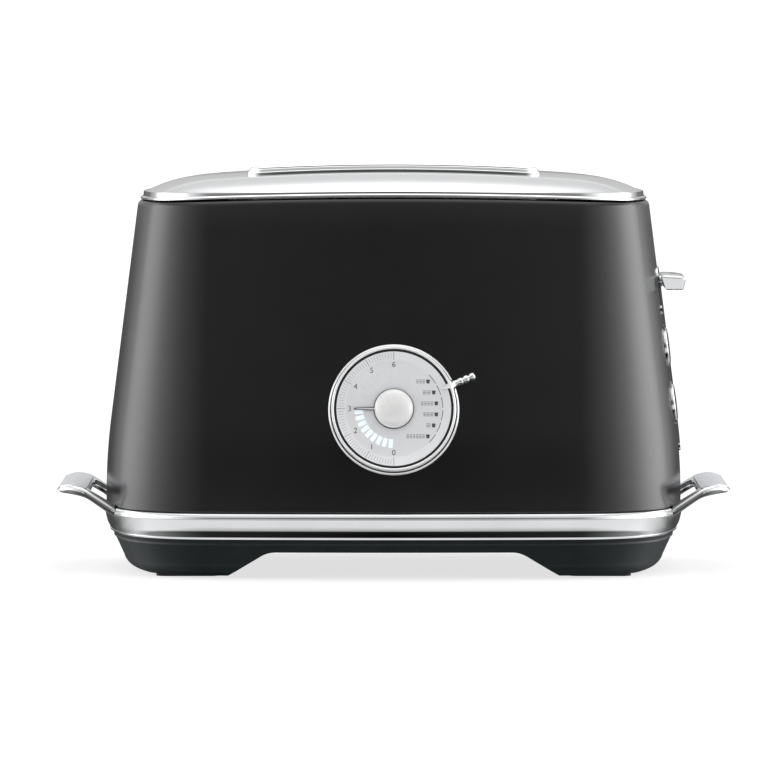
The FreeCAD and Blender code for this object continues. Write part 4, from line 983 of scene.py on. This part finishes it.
def make_dial_face():
    """Silvered face with a soft crease where its rim starts to rise."""
    bore, back = 3.05, FACE_LEVEL - 1.2
    profile = [(bore, back), (FACE_RADIUS, back), (FACE_RADIUS, face_level(FACE_RADIUS))]
    for radius in (28.3, 27.0, 25.5, 24.7):
        profile.append((radius, face_level(radius)))
    profile += [(24.2, FACE_LEVEL + 0.03), (23.6, FACE_LEVEL), (20.0, FACE_LEVEL), (12.0, FACE_LEVEL)]
    profile.append((bore, FACE_LEVEL))
    face = lathe(profile, 160)
    add_piece("face_plate", face, "frame", "silver_face", ["dial_face"], dial_frame(), sharp=40)


def make_light_segments():
    """Eighteen light segments in an arc; the first half of the scale is lit."""
    near, far, half, bevel = 15.3, 19.7, 1.05, 0.3
    outline = [(near, -half), (far - bevel, -half), (far, bevel - half)]
    outline += [(far, half - bevel), (far - bevel, half), (near, half)]
    for name, paint, numbers in (
        ("lights_on", "lit_guide", range(LIGHT_COUNT - LIGHTS_LIT, LIGHT_COUNT)),
        ("lights_off", "dark_guide", range(LIGHT_COUNT - LIGHTS_LIT)),
    ):
        parts = []
        for number in numbers:
            angle = LIGHT_FIRST + LIGHT_PITCH * number
            turn = Matrix.Rotation(math.radians(angle), 2)
            points = [tuple(turn @ Vector(p)) for p in outline]
            parts.append(plate(points, FACE_LEVEL - 1.0, FACE_LEVEL + 0.06))
        add_piece(name, join_grids(parts), "frame", paint, ["light_guide"], dial_frame())


def make_scale():
    """Fine printed scale on the rim: a tick every three degrees, a longer one at each number."""
    fine, strong = [], []
    for step in range(61):
        angle = 90 + 3 * step
        if step % 10 == 0:
            strong.append(printed(spoke(angle, 24.5, 28.4, 0.20)))
        else:
            fine.append(printed(spoke(angle, 25.2, 27.9 if step % 5 else 28.2, 0.16)))
    print_on_face("scale_fine", fine, "scale_ink")
    print_on_face("scale_main", strong, "printed_ink")


def make_numerals():
    """Numbers 0 to 6 along the scale, upright."""
    parts = []
    for number in range(7):
        text = bpy.data.curves.new("numeral", "FONT")
        text.body = str(number)
        text.size = 3.9
        text.align_x = "CENTER"
        text.align_y = "CENTER"
        text.extrude = PRINT_PROUD
        text.resolution_u = 6
        carrier = bpy.data.objects.new("numeral", text)
        bpy.context.scene.collection.objects.link(carrier)
        bpy.context.view_layer.update()
        mesh = bpy.data.meshes.new_from_object(carrier.evaluated_get(bpy.context.evaluated_depsgraph_get()))
        x, y = polar(22.1, 270 - 30 * number)
        verts = [(v.co.x + x, v.co.y + y, v.co.z + FACE_LEVEL) for v in mesh.vertices]
        parts.append((verts, [tuple(face.vertices) for face in mesh.polygons]))
        bpy.data.objects.remove(carrier)
    grid = join_grids(parts)
    add_piece("numerals", grid, "frame", "printed_ink", ["dial_face"], dial_frame(), closed=False)


def slice_outline(x, y, size):
    """A small slice of bread: a square crumb under a wider rounded top."""
    half = size / 2
    points = [(x - 0.8 * half, y - half), (x + 0.8 * half, y - half), (x + 0.8 * half, y + 0.1 * half)]
    points += arc((x + 0.55 * half, y + 0.5 * half), 0.45 * half, -30, 90, 5)
    points += arc((x - 0.55 * half, y + 0.5 * half), 0.45 * half, 90, 210, 5)
    return points + [(x - 0.8 * half, y + 0.1 * half)]


def make_bread_marks():
    """Six arcs for the bread settings, each with a slice sign and a bar whose length tells them apart."""
    parts = []
    lengths = (4.6, 4.2, 6.4, 5.2, 2.4, 9.4)
    for row, length in enumerate(lengths):
        middle = 37.5 - 15 * row
        parts.append(printed(ring_mark(24.3, 0.32, middle - 6.2, middle + 6.2)))
        height = 13.7 - 5.5 * row
        right = math.sqrt(24.0**2 - height**2) - 1.6
        parts.append(printed(slice_outline(right - 1.0, height, 2.0)))
        end = right - 2.6
        for level in (-0.75, 0.0, 0.75):
            pieces = max(int(length / 1.5), 1)
            for piece in range(pieces):
                start = end - length * (piece + 1) / pieces + 0.35
                stop = end - length * piece / pieces
                bar = [(start, height + level - 0.13), (stop, height + level - 0.13)]
                bar += [(stop, height + level + 0.13), (start, height + level + 0.13)]
                parts.append(printed(bar))
    print_on_face("bread_marks", parts, "printed_ink")


def make_browning_control():
    """Domed pearl knob, a black collar under it that paints the shadow in the gap below the knob, and a slim
    needle with dark edges.
    """
    low = KNOB_BACK + NEEDLE_GAUGE
    profile = [(0.0, low), (9.3, low), (KNOB_RADIUS, low + 0.3), (KNOB_RADIUS, low + 1.6)]
    for step in range(1, 19):
        angle = math.pi / 2 * step / 18
        bulge = math.cos(angle) ** 0.75
        rise = math.sin(angle) ** 0.9
        profile.append((KNOB_RADIUS * bulge, low + 1.6 + (KNOB_FRONT - low - 1.6) * rise))
    profile[-1] = (0.0, KNOB_FRONT)
    knob = lathe(profile, 96, closed=False)
    turn = dial_frame(180)
    add_piece("pearl_knob", knob, "browning_dial", "pearl_plastic", ["browning_knob"], turn, sharp=50)
    # Painted shade: a black collar just wider than the knob stands in for the shadow in the gap under it.
    shade_collar = lathe([(3.1, KNOB_BACK), (10.1, KNOB_BACK), (10.1, low), (9.2, low), (3.1, low)], 96)
    outline = [(9.0, -0.8), (18.8, -0.5), (NEEDLE_REACH + 0.3, 0.0), (18.8, 0.5), (9.0, 0.8)]
    needle = plate(outline, KNOB_BACK, low)
    edges = join_grids([shade_collar, needle])
    add_piece("needle_edges_and_shade_collar", edges, "browning_dial", "needle_black", ["dial_needle"], turn)
    core = plate([(9.6, -0.42), (18.4, -0.16), (19.2, 0.0), (18.4, 0.16), (9.6, 0.42)], low - 0.2, low + 0.06)
    add_piece("needle_core", core, "browning_dial", "silver_face", ["dial_needle"], turn)


def make_bread_selector():
    """Bright ring with a rounded front, an inward pointer, and a ridged lever outwards."""
    profile = [(RING_BORE, RING_BACK), (RING_RADIUS, RING_BACK), (RING_RADIUS, RING_FRONT - 0.7)]
    profile += arc((RING_RADIUS - 0.7, RING_FRONT - 0.7), 0.7, 20, 160, 8)
    profile.append((RING_BORE, RING_FRONT - 0.9))
    turn = dial_frame(SELECTOR_ANGLE)
    body, node = "bread_selector", "selector_ring"
    add_piece("selector_rim", lathe(profile, 160), body, "ring_chrome", [node], turn, sharp=50)
    tip, root, half = 25.2, RING_BORE + 0.4, 1.5
    top, low = RING_FRONT - 0.4, RING_FRONT - 1.4
    verts = [(root, -half, low), (root, half, low), (tip, 0, low)]
    verts += [(root, -half, top - 0.3), (root, half, top - 0.3), (tip, 0, low + 0.3), (root, 0, top)]
    faces = [(0, 1, 2), (0, 2, 5, 3), (2, 1, 4, 5), (3, 5, 6), (5, 4, 6), (1, 0, 3, 6, 4)]
    add_piece("selector_pointer", (verts, faces), body, "bright_chrome", [node], turn, sharp=20)
    reach = SELECTOR_REACH - RING_RADIUS
    steps = [(0.0, -0.4), (3.4, -0.3), (3.3, 0.2), (2.6, 0.7), (2.05, 1.3), (1.75, 2.1), (1.65, 3.0)]
    steps += [(1.7, 3.4), (1.95, 3.7), (2.0, 5.6), (1.85, 5.9), (1.35, 6.1)]
    steps += [(1.35, 6.6), (1.9, 6.8), (2.05, 7.1), (2.05, 8.8), (1.85, 9.1), (1.35, 9.3)]
    steps += [(1.35, 9.8), (1.9, 10.0), (2.0, 10.3)]
    steps += [(2.0, reach - 0.7), (1.6, reach - 0.2), (1.0, reach), (0.0, reach)]
    grip = lathe([(radius, RING_RADIUS + out) for radius, out in steps], 48, closed=False)
    level = (RING_BACK + RING_FRONT) / 2
    place = turn @ Matrix.Translation(Vector((0, 0, level))) @ Matrix.Rotation(math.pi / 2, 4, "Y")
    add_piece("selector_grip", grip, body, "bright_chrome", ["selector_lever"], place, sharp=50)


# ---------------------------------------------------------------- lever and buttons


def make_lever_knob():
    """Chrome paddle: rounded outer corners, a top that falls outwards, a back edge that follows the wall."""
    low, high = KNOB_LOW.z, KNOB_HIGH.z
    tip, span = KNOB_HIGH.x, KNOB_HIGH.y
    inner = KNOB_LOW.x
    radius, back_edge = 2.5, 1.5
    outline = arc((tip - radius, -span + radius), radius, -90, 0, 10)
    outline += arc((tip - radius, span - radius), radius, 0, 90, 10)
    outline += [(inner, span), (inner, span / 2), (inner, -span / 2), (inner, -span)]
    centre = Vector(((tip + inner) / 2, 0))

    def shrunk(point, by):
        x = point[0] - by if point[0] > centre.x else point[0] + by
        y = point[1] - by if point[1] > 0 else point[1] + by
        return x, y

    def top_height(x):
        return high - 0.9 * max((x - inner) / (tip - inner), 0) ** 2

    rows = []
    for by, level in ((1.9, 0.0), (1.45, 0.12), (1.15, 0.5), (1.14, 0.6)):
        rows.append([(*shrunk(p, by), low + level) for p in outline])
    for by, drop in ((0.01, 1.5), (0.0, 1.4), (0.2, 0.7), (0.7, 0.25), (1.6, 0.06), (3.2, 0.0)):
        row = []
        for point in outline:
            x, y = shrunk(point, by)
            row.append((x, y, top_height(x) - drop))
        rows.append(row)
    verts, faces = capped(rows)
    foot = wall_inset(low)
    verts = [(x + foot - wall_inset(z) if x < inner + back_edge else x, y, z) for x, y, z in verts]
    add_piece("lever_paddle", (verts, faces), "lever", "bright_chrome", ["lever_knob"], sharp=40)


def make_buttons():
    """Round chrome buttons with a dished face and a softened rim."""
    profile = [(0.0, -12.0), (2.0, -12.0), (2.0, -3.0), (BUTTON_RADIUS, -3.0)]
    profile.append((BUTTON_RADIUS, BUTTON_PROUD - 0.7))
    profile += arc((BUTTON_RADIUS - 0.7, BUTTON_PROUD - 0.7), 0.7, 15, 90, 6)
    profile += [(7.8, BUTTON_PROUD), (7.0, BUTTON_PROUD - 0.12), (5.0, BUTTON_PROUD - 0.3)]
    profile += [(2.5, BUTTON_PROUD - 0.42), (0.0, BUTTON_PROUD - 0.45)]
    cap = lathe(profile, 72, closed=False)
    for level, height in BUTTON_HEIGHTS.items():
        for where, side in SIDES.items():
            node = f"button_{level}_{where}"
            place = end_frame(side * BUTTON_OFFSET, height)
            add_piece(f"{node}_cap", cap, node, "bright_chrome", [node], place, sharp=50)


# ---------------------------------------------------------------- studio

# Brightness of the room above level, from level (0.5) to straight up (1).
ROOM_BY_HEIGHT = [(0.0, 0.0), (0.495, 0.0), (0.505, 0.02), (0.56, 0.05), (0.62, 0.12)]
ROOM_BY_HEIGHT += [(0.68, 0.48), (0.80, 0.80), (0.93, 1.15), (1.0, 1.6)]
# Brightness of the paper in reflections, from straight down (0) to level (0.5), and by swing.
PAPER_BY_HEIGHT = [(0.0, 0.0), (0.18, 0.01), (0.25, 0.82), (0.37, 0.86)]
PAPER_BY_HEIGHT += [(0.43, 0.25), (0.47, 0.04), (0.5, 0.0)]
PAPER_BY_SWING = [(0.0, 1.0), (0.5, 1.0), (0.62, 0.8), (0.75, 0.5), (0.88, 0.2), (1.0, 0.1)]
# Brightness of the side boxes by swing, from the front (0) through the sides (0.5) to the rear (1).
SIDES_BY_SWING = [(0.0, 0.0), (0.04, 0.03), (0.12, 0.09), (0.27, 0.25), (0.42, 0.58), (0.53, 0.97)]
SIDES_BY_SWING += [(0.60, 1.0), (0.68, 0.8), (0.77, 0.4), (0.88, 0.02)]
SIDES_BY_HEIGHT = [(0.0, 0.06), (0.21, 0.08), (0.36, 0.02), (0.42, 0.1)]
SIDES_BY_HEIGHT += [(0.46, 1.0), (0.67, 1.0), (0.78, 0.0)]
# How bright the boxes are on the left and on the right.
SIDE_STRENGTH = (3.3, 4.1)
# Brightness of the wall behind the object, by swing and by height.
REAR_BY_SWING = [(0.0, 0.0), (0.84, 0.0), (0.95, 1.0)]
REAR_BY_HEIGHT = [(0.0, 0.0), (0.49, 0.0), (0.52, 0.46), (0.64, 0.46), (0.7, 0.15), (0.8, 0.0)]


def make_stage():
    """Seamless pale floor."""
    mesh = bpy.data.meshes.new("floor")
    half = 40.0
    corners = [(-half, -half, 0), (half, -half, 0), (half, half, 0), (-half, half, 0)]
    mesh.from_pydata(corners, [], [(0, 1, 2, 3)])
    floor = bpy.data.objects.new("floor", mesh)
    mesh.materials.append(PAINTS["studio_floor"])
    bpy.context.scene.collection.objects.link(floor)
    floor.visible_glossy = False


def soft_light(name, spot, aim, size, power):
    """A softbox that lights and reflects, and is itself out of shot."""
    light = bpy.data.lights.new(name, "AREA")
    light.shape = "RECTANGLE"
    light.size, light.size_y = size
    light.energy = power
    box = bpy.data.objects.new(name, light)
    box.location = spot
    box.rotation_euler = (Vector(aim) - Vector(spot)).to_track_quat("-Z", "Y").to_euler()
    box.visible_camera = False
    bpy.context.scene.collection.objects.link(box)


def make_world():
    """White when seen directly; for light and reflections a soft top, bright sides, paper and a dim front."""
    world = bpy.data.worlds.new("studio")
    bpy.context.scene.world = world
    world.use_nodes = True
    tree = world.node_tree
    tree.nodes.clear()

    def node(kind, *links, **settings):
        made = tree.nodes.new(kind)
        for name, value in settings.items():
            setattr(made, name, value)
        for socket, source in enumerate(links):
            if isinstance(source, (int, float)):
                made.inputs[socket].default_value = source
            else:
                tree.links.new(source, made.inputs[socket])
        return made

    def ramp(source, stops):
        made = node("ShaderNodeValToRGB", source)
        made.color_ramp.interpolation = "LINEAR"
        elements = made.color_ramp.elements
        for index, (spot, grey) in enumerate(stops):
            stop = elements[index] if index < 2 else elements.new(spot)
            stop.position = spot
            stop.color = (grey, grey, grey, 1.0)
        return made.outputs["Color"]

    way = node("ShaderNodeTexCoord").outputs["Generated"]
    split = node("ShaderNodeSeparateXYZ", way).outputs
    height = node("ShaderNodeMath", split["Z"], 0.5, operation="MULTIPLY_ADD")
    height.inputs[2].default_value = 0.5
    rise = ramp(height.outputs[0], ROOM_BY_HEIGHT)
    paper = ramp(height.outputs[0], PAPER_BY_HEIGHT)
    sideways = node("ShaderNodeMath", split["X"], operation="ABSOLUTE").outputs[0]
    forward = node("ShaderNodeMath", split["Y"], -1.0, operation="MULTIPLY").outputs[0]
    swing = node("ShaderNodeMath", sideways, forward, operation="ARCTAN2").outputs[0]
    turn = node("ShaderNodeMath", swing, math.pi, operation="DIVIDE").outputs[0]
    paper = node("ShaderNodeVectorMath", paper, ramp(turn, PAPER_BY_SWING), operation="MULTIPLY").outputs[0]
    rise = node("ShaderNodeVectorMath", rise, paper, operation="ADD").outputs[0]
    side = ramp(turn, SIDES_BY_SWING)
    band = ramp(height.outputs[0], SIDES_BY_HEIGHT)
    strength = node("ShaderNodeMapRange", split["X"], -0.3, 0.3, *SIDE_STRENGTH).outputs[0]
    rear = node("ShaderNodeVectorMath", ramp(turn, REAR_BY_SWING), ramp(height.outputs[0], REAR_BY_HEIGHT),
                operation="MULTIPLY").outputs[0]
    rise = node("ShaderNodeVectorMath", rise, rear, operation="ADD").outputs[0]
    boxes = node("ShaderNodeVectorMath", side, band, operation="MULTIPLY").outputs[0]
    boxes = node("ShaderNodeVectorMath", boxes, operation="SCALE")
    tree.links.new(strength, boxes.inputs["Scale"])
    total = node("ShaderNodeVectorMath", rise, boxes.outputs[0], operation="ADD").outputs[0]
    room = node("ShaderNodeBackground", total).outputs[0]
    seen = node("ShaderNodeBackground").outputs[0]
    seen.node.inputs["Color"].default_value = (1.0, 1.0, 1.0, 1.0)
    direct = node("ShaderNodeLightPath").outputs["Is Camera Ray"]
    mix = node("ShaderNodeMixShader", direct, room, seen).outputs[0]
    node("ShaderNodeOutputWorld", mix)


def make_camera():
    """Long lens at the front, three degrees above level."""
    distance, rise = 4.0, math.radians(3.0)
    view_width = 0.3927
    aim = Vector((-0.00565, 0.0, 0.0943))
    lens = bpy.data.cameras.new("camera")
    lens.sensor_width = 36.0
    lens.lens = lens.sensor_width * distance / view_width
    lens.clip_end = 50.0
    camera = bpy.data.objects.new("camera", lens)
    camera.location = aim + Vector((0, -distance * math.cos(rise), distance * math.sin(rise)))
    camera.rotation_euler = (aim - camera.location).to_track_quat("-Z", "Y").to_euler()
    bpy.context.scene.collection.objects.link(camera)
    bpy.context.scene.camera = camera


dress_cad_nodes()
make_shell()
make_lid()
make_band()
for end, way in (("left", -1), ("right", 1)):
    make_handle(end, way)
make_dial_flange()
make_dial_face()
make_light_segments()
make_scale()
make_numerals()
make_bread_marks()
make_browning_control()
make_bread_selector()
make_lever_knob()
make_buttons()
make_stage()
make_world()
make_camera()
soft_light("top_box", (0, -0.2, 2.2), (0, 0, 0.1), (2.4, 1.8), 6)
bpy.context.scene.view_settings.view_transform = "Standard"
